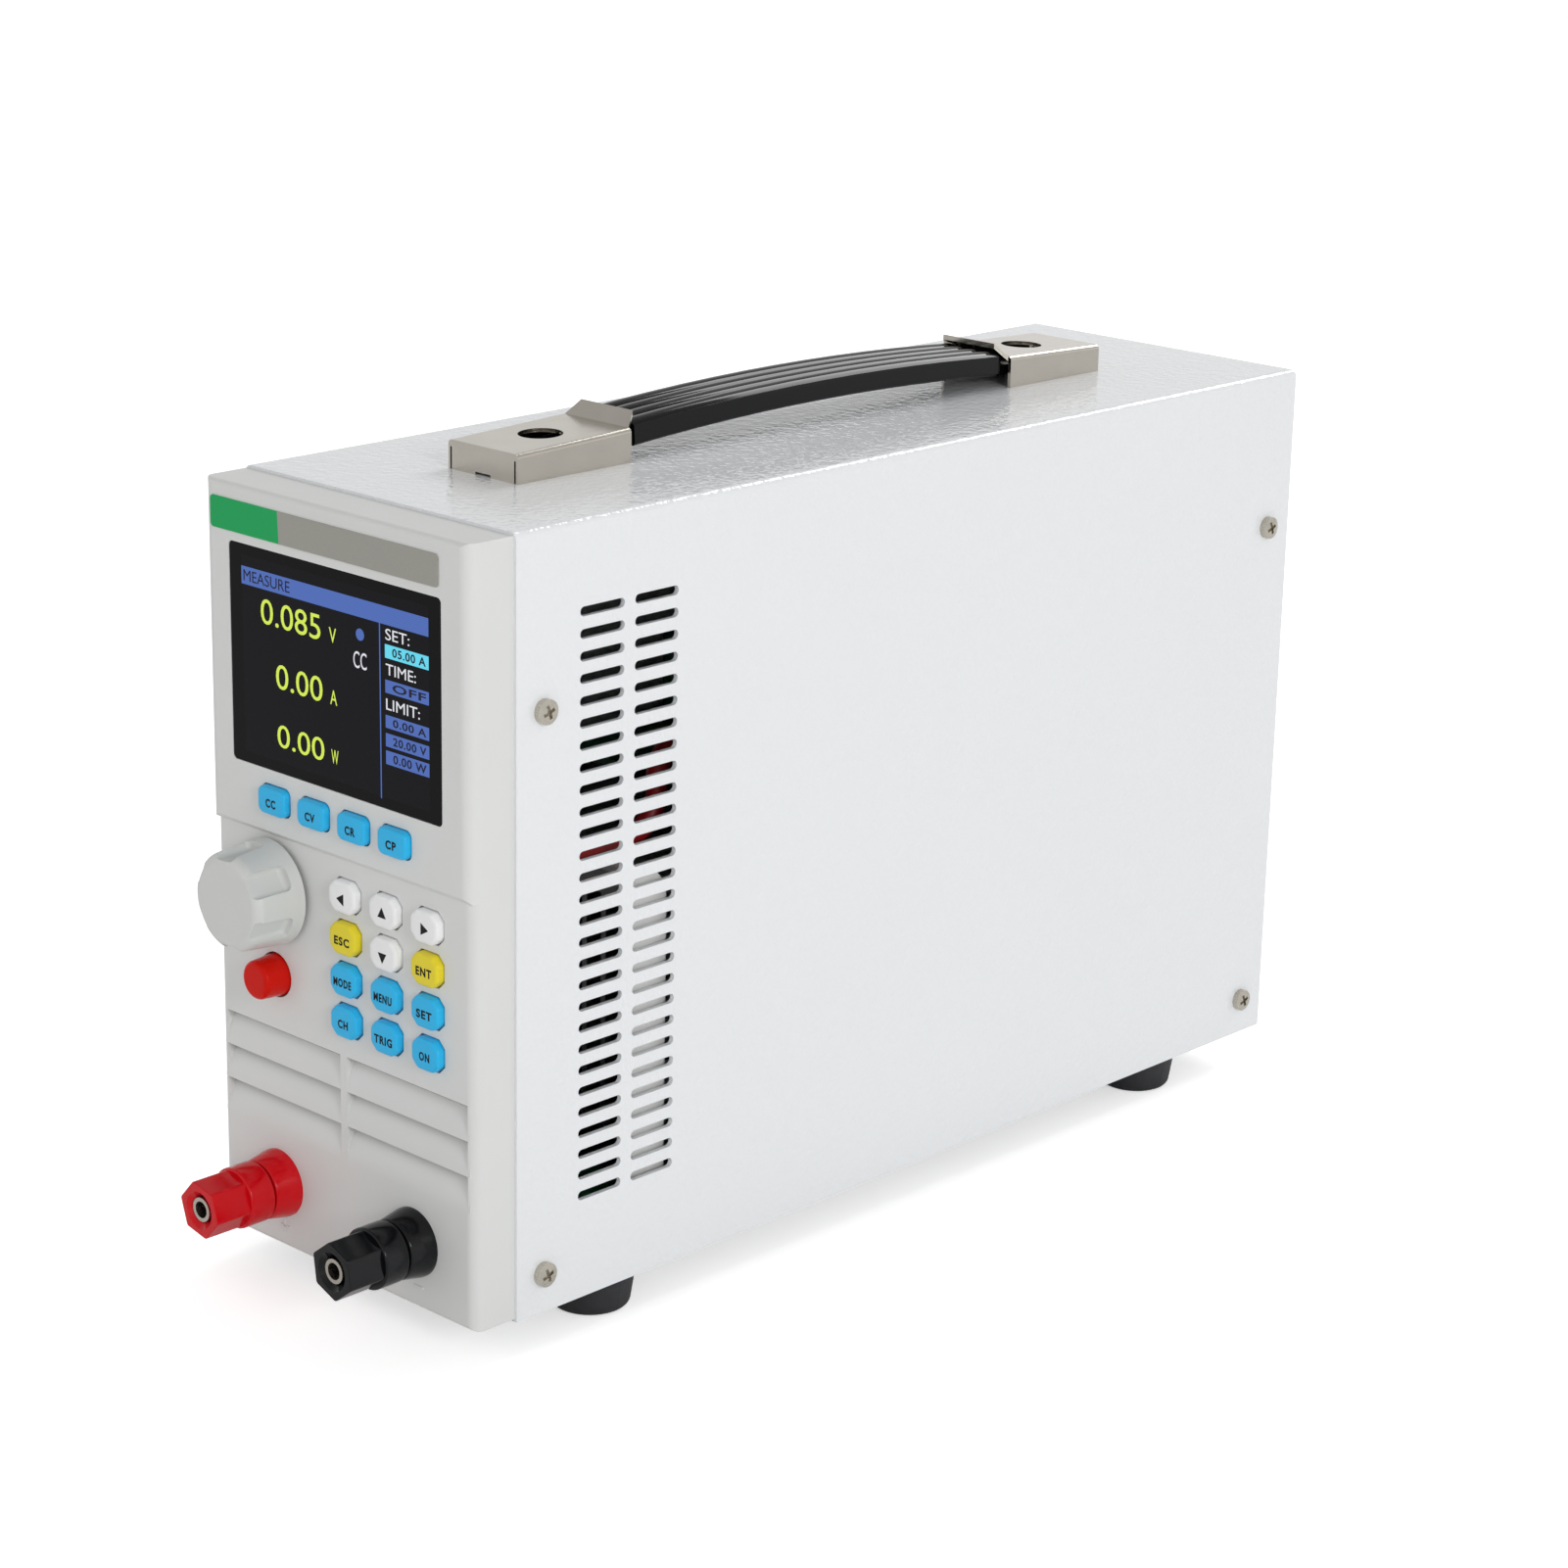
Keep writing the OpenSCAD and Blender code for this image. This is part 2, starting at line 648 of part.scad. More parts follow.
cap_slope = atan2(cap_inner_h - cap_outer_h, cap_l);
span_half = handle_l / 2 - cap_l;
screw_off = handle_l / 2 - cap_l / 2;
strap_end = handle_l / 2 - cap_t - tab_in;
strap_sag = strap_rise - tab_lift;
strap_arc_r = (pow(strap_end, 2) + pow(strap_sag, 2)) / (2 * strap_sag);
strap_low = strap_rise + sqrt(pow(strap_arc_r, 2) - pow(span_half, 2)) - strap_arc_r;
lip_clear = strap_low + strap_t + ridge_h + lip_gap + cap_t * sqrt(2) - cap_inner_h;
strap_half = (span_half - max(lip_clear, lip_gap)) * strap_arc_r / (strap_arc_r + strap_t + ridge_h);
tab_seat_z = strap_rise + sqrt(pow(strap_arc_r, 2) - pow(screw_off, 2)) - strap_arc_r
    + tab_step + tab_t - spot_depth;

fan_s = case_w - 2 * fan_side_in;
fan_z = fan_low_z + fan_s / 2;
fan_hole_pitch = fan_s - 2 * fan_hole_in;
fan_bore_r = fan_s / 2 - fan_wall;
fan_y = rear_in_y - fan_t;
rotor_y = fan_y + spider_t + rotor_end_gap;
rotor_l = fan_t - spider_t - 4 * rotor_end_gap;
guard_y = rear_y + wire_d / 2;
ring_y = guard_y + 0.7 * wire_d;
guard_ring_pitch = (fan_bore_r - 2 * fan_wall) / guard_rings;
eyelet_r = hole_r + wire_d / 2 + 2 * cutout_gap;

inlet_x = inlet_in - case_w / 2;
inlet_z = case_h - inlet_drop;
serial_z = case_h - serial_drop;
selector_x = case_w / 2 - selector_in;
inlet_body_w = inlet_cavity_w + 2 * inlet_wall;
inlet_body_h = inlet_cavity_h + drawer_h + 2 * drawer_gap + 3 * inlet_wall;
inlet_cavity_z = inlet_z + inlet_body_h / 2 - inlet_wall - inlet_cavity_h / 2;
drawer_z = inlet_z - inlet_body_h / 2 + inlet_wall + drawer_gap + drawer_h / 2;
inlet_screw_x = inlet_flange_w / 2 - inlet_screw_in;
inlet_face_y = rear_y + inlet_flange_t;
selector_t = 2;
selector_body_w = selector_w - 2 * selector_t;
selector_body_h = selector_h - 2 * screw_head_d - 4 * cutout_gap;
selector_screw_z = (selector_h - screw_head_d) / 2 - cutout_gap;
selector_pocket_w = selector_body_w - 2 * selector_wall;
selector_pocket_h = selector_body_h - 2 * selector_wall;
selector_pocket_d = 2 * selector_t;

sink_y = duct_y + duct_l + sink_in;
sink_l = fan_y - sink_fan_gap - sink_y;
sink_w = fan_s - 2 * sink_side_in;
sink_z = sheet_t + sink_h;
sink_top = sink_z + sink_base_t;
main_board_z = sink_top + main_board_h;
main_board_y = sink_y + main_board_in;
main_board_w = sink_w - 2 * board_screw_in;
pillar_d = 6;
input_board_y = frame_y + flange_d + 2 * sheet_t;
input_board_z = sheet_t + input_board_h;
input_board_w = sink_w - board_end_gap;
transformer_y = main_board_y + main_board_l + board_end_gap;
lead_y = stud_back_y + lead_bend + lug_t;
black_low_z = sink_top - 2 * lead_d;
black_lead_y = lead_y + 2 * lead_bend + lug_t;
black_lead_z = main_board_z + board_t + board_end_gap;
red_low_z = sheet_t + duct_h + lead_d;
red_lead_x = inner_w / 2 - lead_side_in;
red_lead_y = main_board_y - lead_run;
red_lead_z = main_board_z + board_t + 4 * lead_d;

// A named piece in its place: on its feet, with the overall depth shared evenly about the origin
module piece(name) {
    translate([0, face_y, foot_h]) children();
}

// Extrudes a shape drawn in x and z from y0 to y1
module along_y(y0, y1) {
    translate([0, y1, 0]) rotate([90, 0, 0]) linear_extrude(y1 - y0) children();
}

// Extrudes a shape drawn in y and z from x0 to x1
module along_x(x0, x1) {
    translate([x0, 0, 0]) rotate([90, 0, 90]) linear_extrude(x1 - x0) children();
}

// Round bar along Y from y0 to y1
module bar_y(y0, y1, r) {
    translate([0, y0, 0]) rotate([-90, 0, 0]) cylinder(h = y1 - y0, r = r);
}

// Turns a profile drawn in radius and y about the Y axis
module turned_y() {
    rotate([-90, 0, 0]) rotate_extrude() children();
}

// Rectangle with round corners
module round_rect(w, h, r) {
    square([w - 2 * r, h], center = true);
    square([w, h - 2 * r], center = true);
    for (sx = [-1, 1], sy = [-1, 1])
        translate([sx * (w / 2 - r), sy * (h / 2 - r)]) circle(r);
}

// Rectangle with cut corners
module cut_rect(w, h, c) {
    intersection() {
        square([w, h], center = true);
        rotate(45) square((w + h - 2 * c) / sqrt(2), center = true);
    }
}

// Slot with round ends
module slot(l, h) {
    square([l - h, h], center = true);
    for (s = [-1, 1]) translate([s * (l - h) / 2, 0]) circle(h / 2);
}

// The waste outside a rounded corner of radius r at the origin
module corner_waste(r) {
    difference() {
        translate([-1, -1]) square(r + 1);
        translate([r, r]) circle(r);
    }
}

// Half profile of a plug that tapers from r0 to r1 over its length l along -y, with its end rounded in steps
module plug_profile(r0, r1, l, edge, steps = 5) {
    polygon(concat(
        [[0, 0], [r0, 0]],
        [for (i = [0 : steps]) [r1 - edge, edge - l] + edge * [cos(90 * i / steps), -sin(90 * i / steps)]],
        [[0, -l]]
    ));
}

// Pan head screw with its seat at the origin and its shank along -Z
module pan_screw(d, head_d, head_h, l) {
    translate([0, 0, -l]) cylinder(h = l + eps, d = d);
    difference() {
        intersection() {
            cylinder(h = head_h, d = head_d);
            translate([0, 0, head_h - 2 * head_d]) sphere(2 * head_d);
        }
        for (a = [0, 90]) rotate(recess_turn + a) translate([0, 0, head_h])
            cube([recess_share * head_d, recess_share * head_d / 4, head_h], center = true);
    }
}

// Hexagonal nut along Y from y0
module nut_y(y0) {
    difference() {
        translate([0, y0, 0]) rotate([-90, 0, 0]) cylinder(h = nut_t, d = nut_w / cos(30), $fn = 6);
        bar_y(y0 - 1, y0 + nut_t + 1, stud_d / 2 + thread_gap);
    }
}

// Case metalwork

// Outline of the folded cover, open at its bottom
module cover_outline(w, h, r) {
    translate([-w / 2, 0]) square([w, h - r]);
    translate([-w / 2 + r, 0]) square([w - 2 * r, h]);
    for (s = [-1, 1]) translate([s * (w / 2 - r), h - r]) circle(r);
}

// Places of the four screws that pass through each side wall
module at_cover_screws() {
    for (y = [screw_front_y, screw_rear_y], z = screw_rows)
        translate([0, y, z]) children();
}

module top_cover() {
    color("whitesmoke") difference() {
        along_y(bezel_d, case_d) difference() {
            cover_outline(case_w, case_h, cover_r);
            translate([0, -1])
                cover_outline(case_w - 2 * sheet_t, case_h - sheet_t + 1, cover_r - sheet_t);
        }
        for (column = [0, 1], row = [0 : vent_rows - 1])
            translate([0, vent_y + column * vent_column_pitch, vent_z + row * vent_row_pitch])
                along_x(-case_w, case_w) slot(vent_l, vent_h);
        at_cover_screws() rotate([0, 90, 0]) cylinder(h = 2 * case_w, r = hole_r, center = true);
        at_handle_screws() cylinder(h = 4 * sheet_t, d = handle_screw_d + 2 * screw_gap, center = true);
    }
}

// Folded flanges that carry the cover's screws, from y0 to y1
module side_flanges(y0, y1) {
    z0 = 4 * sheet_t;
    for (s = [-1, 1])
        translate([s * (inner_w - sheet_t) / 2 - sheet_t / 2, y0, z0])
            cube([sheet_t, y1 - y0, inner_h - cover_r - z0]);
    translate([-inner_w / 2, y0, sheet_t]) cube([inner_w, y1 - y0, sheet_t]);
}

module at_feet() {
    for (sx = [-1, 1], y = [foot_front_y, foot_rear_y])
        translate([sx * foot_x, y, 0]) children();
}

module at_input_posts() {
    for (sx = [-1, 1], y = [board_screw_in, input_board_d - board_screw_in])
        translate([sx * (input_board_w / 2 - board_screw_in), input_board_y + y, 0]) children();
}

module chassis_tray() {
    tray_flange_l = rear_in_y - frame_y - 2 * flange_d - 4 * sheet_t;
    color("silver") difference() {
        union() {
            translate([-inner_w / 2, frame_y, 0]) cube([inner_w, rear_in_y - frame_y, sheet_t]);
            for (s = [-1, 1])
                translate([s * (inner_w - sheet_t) / 2, (frame_y + rear_in_y) / 2, tray_flange_h / 2])
                    cube([sheet_t, tray_flange_l, tray_flange_h], center = true);
            at_input_posts() cylinder(h = input_board_z, d = pillar_d);
        }
        at_feet() cylinder(h = 4 * sheet_t, d = foot_screw_d + 2 * screw_gap, center = true);
        at_input_posts() translate([0, 0, input_board_z - 2 * screw_l]) cylinder(h = 3 * screw_l, r = hole_r);
    }
}

module at_bosses() {
    for (sx = [-1, 1], z = boss_rows) translate([sx * boss_x, 0, z]) children();
}

module front_frame() {
    opening_w = 2 * (boss_x - boss_d);
    low = [post_z - nut_w, louvre_top_z + sheet_t];
    high = [board_z0 + nut_w, board_z1 - 2 * board_lap];
    color("silver") difference() {
        union() {
            along_y(bezel_d, frame_y) cover_outline(inner_w, inner_h, cover_r);
            side_flanges(frame_y - eps, frame_y + flange_d);
        }
        along_y(bezel_d - 1, frame_y + 1) for (span = [low, high])
            translate([0, (span[0] + span[1]) / 2]) round_rect(opening_w, span[1] - span[0], 2 * cover_r);
        at_bosses() bar_y(bezel_d - 1, frame_y + 1, hole_r);
        at_cover_screws() rotate([0, 90, 0]) cylinder(h = 2 * case_w, r = hole_r, center = true);
    }
}

module at_fan_screws() {
    for (sx = [-1, 1], sz = [-1, 1])
        translate([sx * fan_hole_pitch / 2, 0, fan_z + sz * fan_hole_pitch / 2]) children();
}

module at_inlet_screws() {
    for (sx = [-1, 1]) translate([inlet_x + sx * inlet_screw_x, 0, inlet_z]) children();
}

module at_selector_screws() {
    for (sz = [-1, 1]) translate([selector_x, 0, inlet_z + sz * selector_screw_z]) children();
}

// D-shaped outline of the serial port
module serial_outline(w, h) {
    lean = 1.4;
    polygon([[-w / 2, h / 2], [w / 2, h / 2], [w / 2 - lean, -h / 2], [-w / 2 + lean, -h / 2]]);
}

module rear_panel() {
    color("silver") difference() {
        union() {
            along_y(rear_in_y, rear_y) cover_outline(inner_w, inner_h, cover_r);
            side_flanges(rear_in_y - flange_d, rear_in_y + eps);
        }
        translate([0, 0, fan_z]) bar_y(rear_in_y - 1, rear_y + 1, fan_bore_r);
        along_y(rear_in_y - 1, rear_y + 1) {
            translate([inlet_x, inlet_z])
                square([inlet_body_w + 2 * cutout_gap, inlet_body_h + 2 * cutout_gap], center = true);
            translate([selector_x, inlet_z])
                square([selector_body_w + 2 * cutout_gap, selector_body_h + 2 * cutout_gap], center = true);
            translate([inlet_x, serial_z])
                serial_outline(serial_w + 2 * cutout_gap, serial_h + 2 * cutout_gap);
        }
        at_fan_screws() bar_y(rear_in_y - 1, rear_y + 1, hole_r);
        at_inlet_screws() bar_y(rear_in_y - 1, rear_y + 1, hole_r);
        at_selector_screws() bar_y(rear_in_y - 1, rear_y + 1, hole_r);
        at_cover_screws() rotate([0, 90, 0]) cylinder(h = 2 * case_w, r = hole_r, center = true);
    }
}

module cover_screws() {
    color("gainsboro") at_cover_screws() for (s = [-1, 1])
        rotate([0, s * 90, 0]) translate([0, 0, case_w / 2])
            pan_screw(screw_d, screw_head_d, screw_head_h, screw_l);
}

module feet() {
    color("#1c1c1c") at_feet() difference() {
        rotate_extrude() plug_profile(foot_r, foot_r - foot_taper, foot_h, foot_edge_r);
        translate([0, 0, -foot_h - 1]) cylinder(h = foot_h + 2, d = foot_screw_d + 2 * screw_gap);
        translate([0, 0, -foot_h - 1])
            cylinder(h = foot_h - foot_web + 1, d = foot_screw_head_d + 4 * screw_gap);
    }
}

module foot_screws() {
    color("gainsboro") at_feet() translate([0, 0, -foot_web]) mirror([0, 0, 1])
        pan_screw(foot_screw_d, foot_screw_head_d, foot_screw_head_h, foot_web + sheet_t);
}

// Carrying strap

module at_cap_ends() {
    for (s = [0, 1])
        translate([0, handle_y, case_h]) rotate([0, 0, 180 * s])
            translate([0, -handle_l / 2, 0]) children();
}

// Block under the sloping top plate of an end cap, shrunk by t on its top and its closed sides
module cap_block(t) {
    intersection() {
        rotate([cap_slope, 0, 0]) along_y(-cap_outer_h, cap_l + cap_outer_h) difference() {
            translate([-cap_w / 2 + t, -cap_w]) square([cap_w - 2 * t, cap_outer_h + cap_w - t]);
            for (s = [0, 1]) mirror([s, 0]) translate([cap_w / 2 - t, cap_outer_h - t])
                rotate(180) corner_waste(cap_edge_r - t);
        }
        translate([-cap_w, t, -t]) cube([2 * cap_w, t == 0 ? cap_l : 2 * cap_l, 2 * cap_inner_h]);
    }
}

module handle_ends() {
    lip_drop = cap_lip_l * sin(45);
    lip_x = cap_w / 2 - 2 * slit_w;
    color("darkgray") at_cap_ends() difference() {
        union() {
            difference() {
                cap_block(0);
                cap_block(cap_t);
            }
            intersection() {
                translate([0, cap_l, cap_inner_h]) rotate([45, 0, 0])
                    translate([-cap_w, -cap_t, -cap_t]) cube([2 * cap_w, cap_lip_l + cap_t, cap_t]);
                translate([0, cap_l - 2 * cap_t, 0]) linear_extrude(3 * cap_inner_h) polygon([
                    [-lip_x, 0], [lip_x, 0], [lip_x, 2 * cap_t],
                    [cap_lip_w / 2, lip_drop + 2 * cap_t], [-cap_lip_w / 2, lip_drop + 2 * cap_t],
                    [-lip_x, 2 * cap_t]
                ]);
            }
        }
        translate([0, cap_l / 2, 0]) cylinder(h = 3 * cap_inner_h, d = cap_hole_d);
        for (s = [-1, 1]) translate([s * (cap_w / 2 - cap_t), 0, 0])
            cube([slit_w, 3 * cap_t, 2 * (cap_outer_h - slit_w - cap_edge_r)], center = true);
        cube([notch_w, 4 * cap_t, 2 * notch_h], center = true);
    }
}

// Cross section of the strap, its underside at zero: a soft-edged bar under a row of round ridges
module strap_section() {
    ridge_w = strap_w / ridge_count - ridge_in;
    ridge_r = (pow(ridge_w / 2, 2) + pow(ridge_h, 2)) / (2 * ridge_h);
    difference() {
        translate([-strap_w / 2, 0]) square([strap_w, strap_t - ridge_in]);
        for (s = [0, 1]) mirror([s, 0]) translate([-strap_w / 2, 0]) corner_waste(2 * tab_step);
    }
    for (i = [0 : ridge_count - 1])
        translate([(i + 0.5 - ridge_count / 2) * ridge_w, strap_t + ridge_h - ridge_r]) intersection() {
            circle(ridge_r);
            translate([-ridge_r, ridge_r - ridge_h - 2 * ridge_in]) square(2 * ridge_r);
        }
}

// Sweeps a section drawn in x and height along the strap's arc, over a half length each side of mid span
module along_strap(half) {
    a = asin(half / strap_arc_r);
    translate([0, handle_y, case_h + strap_rise - strap_arc_r]) rotate([0, -90, 0]) rotate([0, 0, -a])
        rotate_extrude(angle = 2 * a, $fn = 720) translate([strap_arc_r, 0])
            rotate(-90) mirror([1, 0]) children();
}

module at_handle_screws() {
    for (s = [-1, 1]) translate([0, handle_y + s * screw_off, case_h]) children();
}

module handle_strap() {
    boss_r = handle_screw_head_d / 2 + 3 * tab_step;
    color("#1c1c1c") difference() {
        union() {
            along_strap(strap_half) strap_section();
            along_strap(strap_end) translate([tab_step - strap_w / 2, tab_step])
                square([strap_w - 2 * tab_step, tab_t]);
            at_handle_screws() cylinder(h = tab_seat_z, r = boss_r);
        }
        at_handle_screws() translate([0, 0, tab_seat_z]) cylinder(h = cap_inner_h, r = boss_r + tab_step);
        at_handle_screws() cylinder(h = 3 * cap_inner_h, d = handle_screw_d + 2 * screw_gap, center = true);
    }
}

module handle_screws() {
    color("gainsboro") at_handle_screws() translate([0, 0, tab_seat_z])
        pan_screw(handle_screw_d, handle_screw_head_d, handle_screw_head_h, tab_seat_z + handle_screw_l);
}

// Front bezel

// Plan of the bezel from its front at y0 to its back at y1, with its two upright edges rounded
module bezel_plan(y0, y1, w, r) {
    translate([-w / 2, y0 + r]) square([w, y1 - y0 - r]);
    translate([-w / 2 + r, y0]) square([w - 2 * r, y1 - y0]);
    for (s = [-1, 1]) translate([s * (w / 2 - r), y0 + r]) circle(r);
}

// Side view of the bezel: the proud upper face, the sloping step and the lower face
module bezel_side() {
    difference() {
        polygon([
            [bezel_d, bezel_z0], [lower_y, bezel_z0], [lower_y, step_z - face_step],
            [0, step_z], [0, bezel_z1], [bezel_d, bezel_z1]
        ]);
        translate([0, bezel_z1]) mirror([0, 1]) corner_waste(bezel_edge_r);
        translate([lower_y, bezel_z0]) corner_waste(bezel_edge_r);
    }
}

module bezel_shell() {
    low_top = step_z - face_step;
    in_w = bezel_w - 2 * bezel_t;
    in_r = bezel_r - bezel_t;
    difference() {
        intersection() {
            union() {
                linear_extrude(step_z) bezel_plan(lower_y, bezel_d, bezel_w, bezel_r);
                translate([0, 0, low_top]) linear_extrude(case_h - low_top)
                    bezel_plan(0, bezel_d, bezel_w, bezel_r);
            }
            along_x(-case_w, case_w) bezel_side();
        }
        translate([0, 0, bezel_z0 + bezel_t]) linear_extrude(step_z - bezel_z0 - bezel_t)
            bezel_plan(lower_in_y, bezel_d + 1, in_w, in_r);
        translate([0, 0, step_z - eps]) linear_extrude(bezel_z1 - bezel_t - step_z + eps)
            bezel_plan(upper_in_y, bezel_d + 1, in_w, in_r);
    }
}

module at_mode_key(i) {
    translate([(i - (len(mode_names) - 1) / 2) * mode_pitch, 0, mode_z]) children();
}

module at_pad_key(column, row) {
    translate([pad_x + (column - 1) * pad_pitch_x, 0, pad_z + row * pad_pitch_z]) children();
}

module at_knob() {
    translate([-control_x, 0, knob_z]) children();
}

module at_button() {
    translate([-control_x, 0, button_z]) children();
}

// Axis of the red post for side -1, of the black post for side 1
module at_post(side) {
    translate([side * control_x, 0, post_z]) children();
}

// Curved louvre blade of a given rise: flush at its lower edge, leaning back towards its upper edge
module louvre_blade(rise) {
    intersection() {
        difference() {
            translate([louvre_r, 0]) circle(louvre_r);
            translate([louvre_r, 0]) circle(louvre_r - blade_skin);
        }
        square([louvre_r, rise]);
    }
}

// Blades of both louvre columns, the top one cut short under its slit
module louvre_blades() {
    for (s = [-1, 1], row = [1 : louvre_rows])
        translate([s * louvre_x, lower_y, louvre_top_z - row * louvre_pitch])
            along_x(-louvre_w / 2 - blade_skin / 2, louvre_w / 2 + blade_skin / 2)
                louvre_blade(row == 1 ? louvre_pitch - louvre_slit : louvre_pitch + blade_skin / 2);
}

module front_bezel() {
    louvre_mid = (louvre_z0 + louvre_top_z) / 2;
    color("gainsboro") difference() {
        union() {
            difference() {
                union() {
                    bezel_shell();
                    along_y(lower_in_y - eps, lower_y + louvre_depth + blade_skin) translate([0, louvre_mid])
                        square([2 * louvre_w + mullion_w + bezel_t, louvre_h + 2 * bezel_t], center = true);
                }
                for (s = [-1, 1]) along_y(-1, bezel_d) translate([s * louvre_x, louvre_mid])
                    square([louvre_w, louvre_h], center = true);
            }
            louvre_blades();
            at_bosses() bar_y(upper_in_y - eps, bezel_d, boss_d / 2);
        }
        translate([0, 0, window_z]) {
            along_y(-1, lens_back_y) round_rect(window_w + 2 * lens_gap, window_h + 2 * lens_gap, window_r);
            along_y(0, lower_in_y)
                round_rect(window_w - 2 * lens_ledge, window_h - 2 * lens_ledge, window_r);
        }
        for (i = [0 : len(mode_names) - 1]) at_mode_key(i) along_y(-1, lower_in_y)
            round_rect(mode_w + 2 * key_gap, mode_h + 2 * key_gap, mode_r);
        for (column = [0 : 2], row = [0 : 3]) at_pad_key(column, row) along_y(-1, lower_in_y + 1)
            cut_rect(pad_w + 2 * key_gap, pad_h + 2 * key_gap, pad_cut);
        at_knob() bar_y(-1, bezel_d, bushing_d / 2 + bushing_gap);
        at_button() bar_y(-1, bezel_d, button_r + key_gap);
        for (s = [-1, 1]) at_post(s) bar_y(-1, bezel_d, spigot_r + screw_gap);
        at_bosses() bar_y(bezel_d - boss_hole_l, bezel_d + 1, hole_r);
    }
}

// Display

module window_lens() {
    color([0.08, 0.08, 0.09]) translate([0, 0, window_z])
        along_y(lens_sink, lens_back_y) round_rect(window_w, window_h, window_r);
}

module lcd_module() {
    leg_r = 2;
    rim = 2 * leg_r;
    glass_sink = 0.4;
    color("dimgray") translate([0, 0, window_z]) {
        difference() {
            translate([-lcd_w / 2, upper_in_y, -lcd_h / 2]) cube([lcd_w, lcd_t, lcd_h]);
            along_y(0, upper_in_y + glass_sink) square([lcd_w - 2 * rim, lcd_h - 2 * rim], center = true);
        }
        for (sx = [-1, 1], sz = [-1, 1])
            translate([sx * (lcd_w - 3 * leg_r) / 2, 0, sz * (lcd_h - 3 * leg_r) / 2])
                bar_y(upper_in_y + lcd_t - eps, board_y, leg_r);
    }
}

module front_board() {
    color("darkgreen") difference() {
        along_y(board_y, board_y + board_t)
            translate([0, (board_z0 + board_z1) / 2]) round_rect(board_w, board_z1 - board_z0, 2);
        at_button() bar_y(board_y - 1, board_y + board_t + 1, stem_d / 2 + stem_gap);
    }
}

module tact_switch() {
    translate([-switch_s / 2, switch_y, -switch_s / 2]) cube([switch_s, switch_t, switch_s]);
    bar_y(plunger_y, switch_y + eps, plunger_d / 2);
}

module key_switches() {
    color("#333") {
        for (i = [0 : len(mode_names) - 1]) at_mode_key(i) tact_switch();
        for (column = [0 : 2], row = [0 : 3]) at_pad_key(column, row) tact_switch();
    }
}

// Keys

// Block in depth and width whose two front edges are rounded
module crown_profile(w, y0, y1) {
    difference() {
        translate([y0, -w / 2]) square([y1 - y0, w]);
        for (s = [0, 1]) mirror([0, s]) translate([y0, -w / 2]) corner_waste(key_edge_r);
    }
}

// A key of the given outline: a crown with soft front edges, a rim behind the wall and a stem
module key_shape(w, h, front_y, wall_y) {
    rim_y = wall_y + rim_gap;
    intersection() {
        along_y(front_y, rim_y + eps) children(0);
        along_x(-w, w) crown_profile(h, front_y, rim_y + eps);
        linear_extrude(2 * h, center = true) mirror([1, -1]) crown_profile(w, front_y, rim_y + eps);
    }
    along_y(rim_y, rim_y + key_rim_t) children(1);
    along_y(rim_y, key_back_y) square(key_stem_s, center = true);
}

module mode_key(i) {
    color("deepskyblue") at_mode_key(i) key_shape(mode_w, mode_h, -mode_rise, upper_in_y) {
        round_rect(mode_w, mode_h, mode_r);
        round_rect(mode_w + 2 * key_rim, mode_h + 2 * key_rim, mode_r);
    }
}

module pad_key(column, row) {
    color(pad_colors[row][column]) at_pad_key(column, row)
        key_shape(pad_w, pad_h, lower_y - pad_rise, lower_in_y) {
            cut_rect(pad_w, pad_h, pad_cut);
            cut_rect(pad_w + 2 * key_rim, pad_h + 2 * key_rim, pad_cut);
        }
}

// Knob and power button

module knob() {
    hub_r = shaft_d / 2 + knob_wall;
    cup_r = knob_tip_r - flute_depth - knob_wall;
    cup_y = 2 * knob_wall - knob_l;
    color("silver") at_knob() translate([0, knob_y, 0]) difference() {
        turned_y() plug_profile(knob_r, knob_tip_r, knob_l, knob_edge_r);
        difference() {
            bar_y(cup_y, 1, cup_r);
            bar_y(cup_y - 1, 2, hub_r);
        }
        for (i = [0 : flute_count - 1]) rotate([0, (i + 0.5) * 360 / flute_count, 0])
            translate([flute_x, 0, 0]) {
                bar_y(-knob_l - 1, -flute_end, flute_r);
                translate([0, -flute_end, 0]) sphere(flute_r);
            }
        bar_y(shaft_front - knob_y, 1, shaft_d / 2 + shaft_gap);
    }
}

module encoder() {
    color("dimgray") at_knob() difference() {
        union() {
            along_y(encoder_y, board_y) square(encoder_s, center = true);
            bar_y(lower_y - knob_gap / 2, encoder_y + eps, bushing_d / 2);
        }
        bar_y(-knob_l, shaft_back_y + shaft_end_gap, shaft_d / 2 + shaft_gap);
    }
}

module encoder_shaft() {
    color("silver") at_knob() bar_y(shaft_front + shaft_end_gap, shaft_back_y, shaft_d / 2);
}

module power_button() {
    color("red") at_button() {
        translate([0, button_back_y, 0]) turned_y()
            plug_profile(button_r, button_r, button_back_y - lower_y + button_rise, button_edge_r);
        bar_y(button_back_y - eps, stem_back_y, stem_d / 2);
    }
}

module power_switch() {
    color("#1c1c1c") at_button() difference() {
        along_y(power_switch_y, board_y) square(power_switch_s, center = true);
        bar_y(power_switch_y - 1, board_y + 1, stem_d / 2 + stem_gap);
    }
}

// Binding posts

// Insulator: a short cone against the lower face with a spigot through the bezel
module post_base() {
    bore_r = stud_d / 2 + thread_gap;
    turned_y() polygon([
        [bore_r, lower_y - post_base_l], [post_neck_r, lower_y - post_base_l],
        [post_base_r, lower_y - post_foot_l], [post_base_r, lower_y], [spigot_r, lower_y],
        [spigot_r, lower_in_y], [bore_r, lower_in_y]
    ]);
}

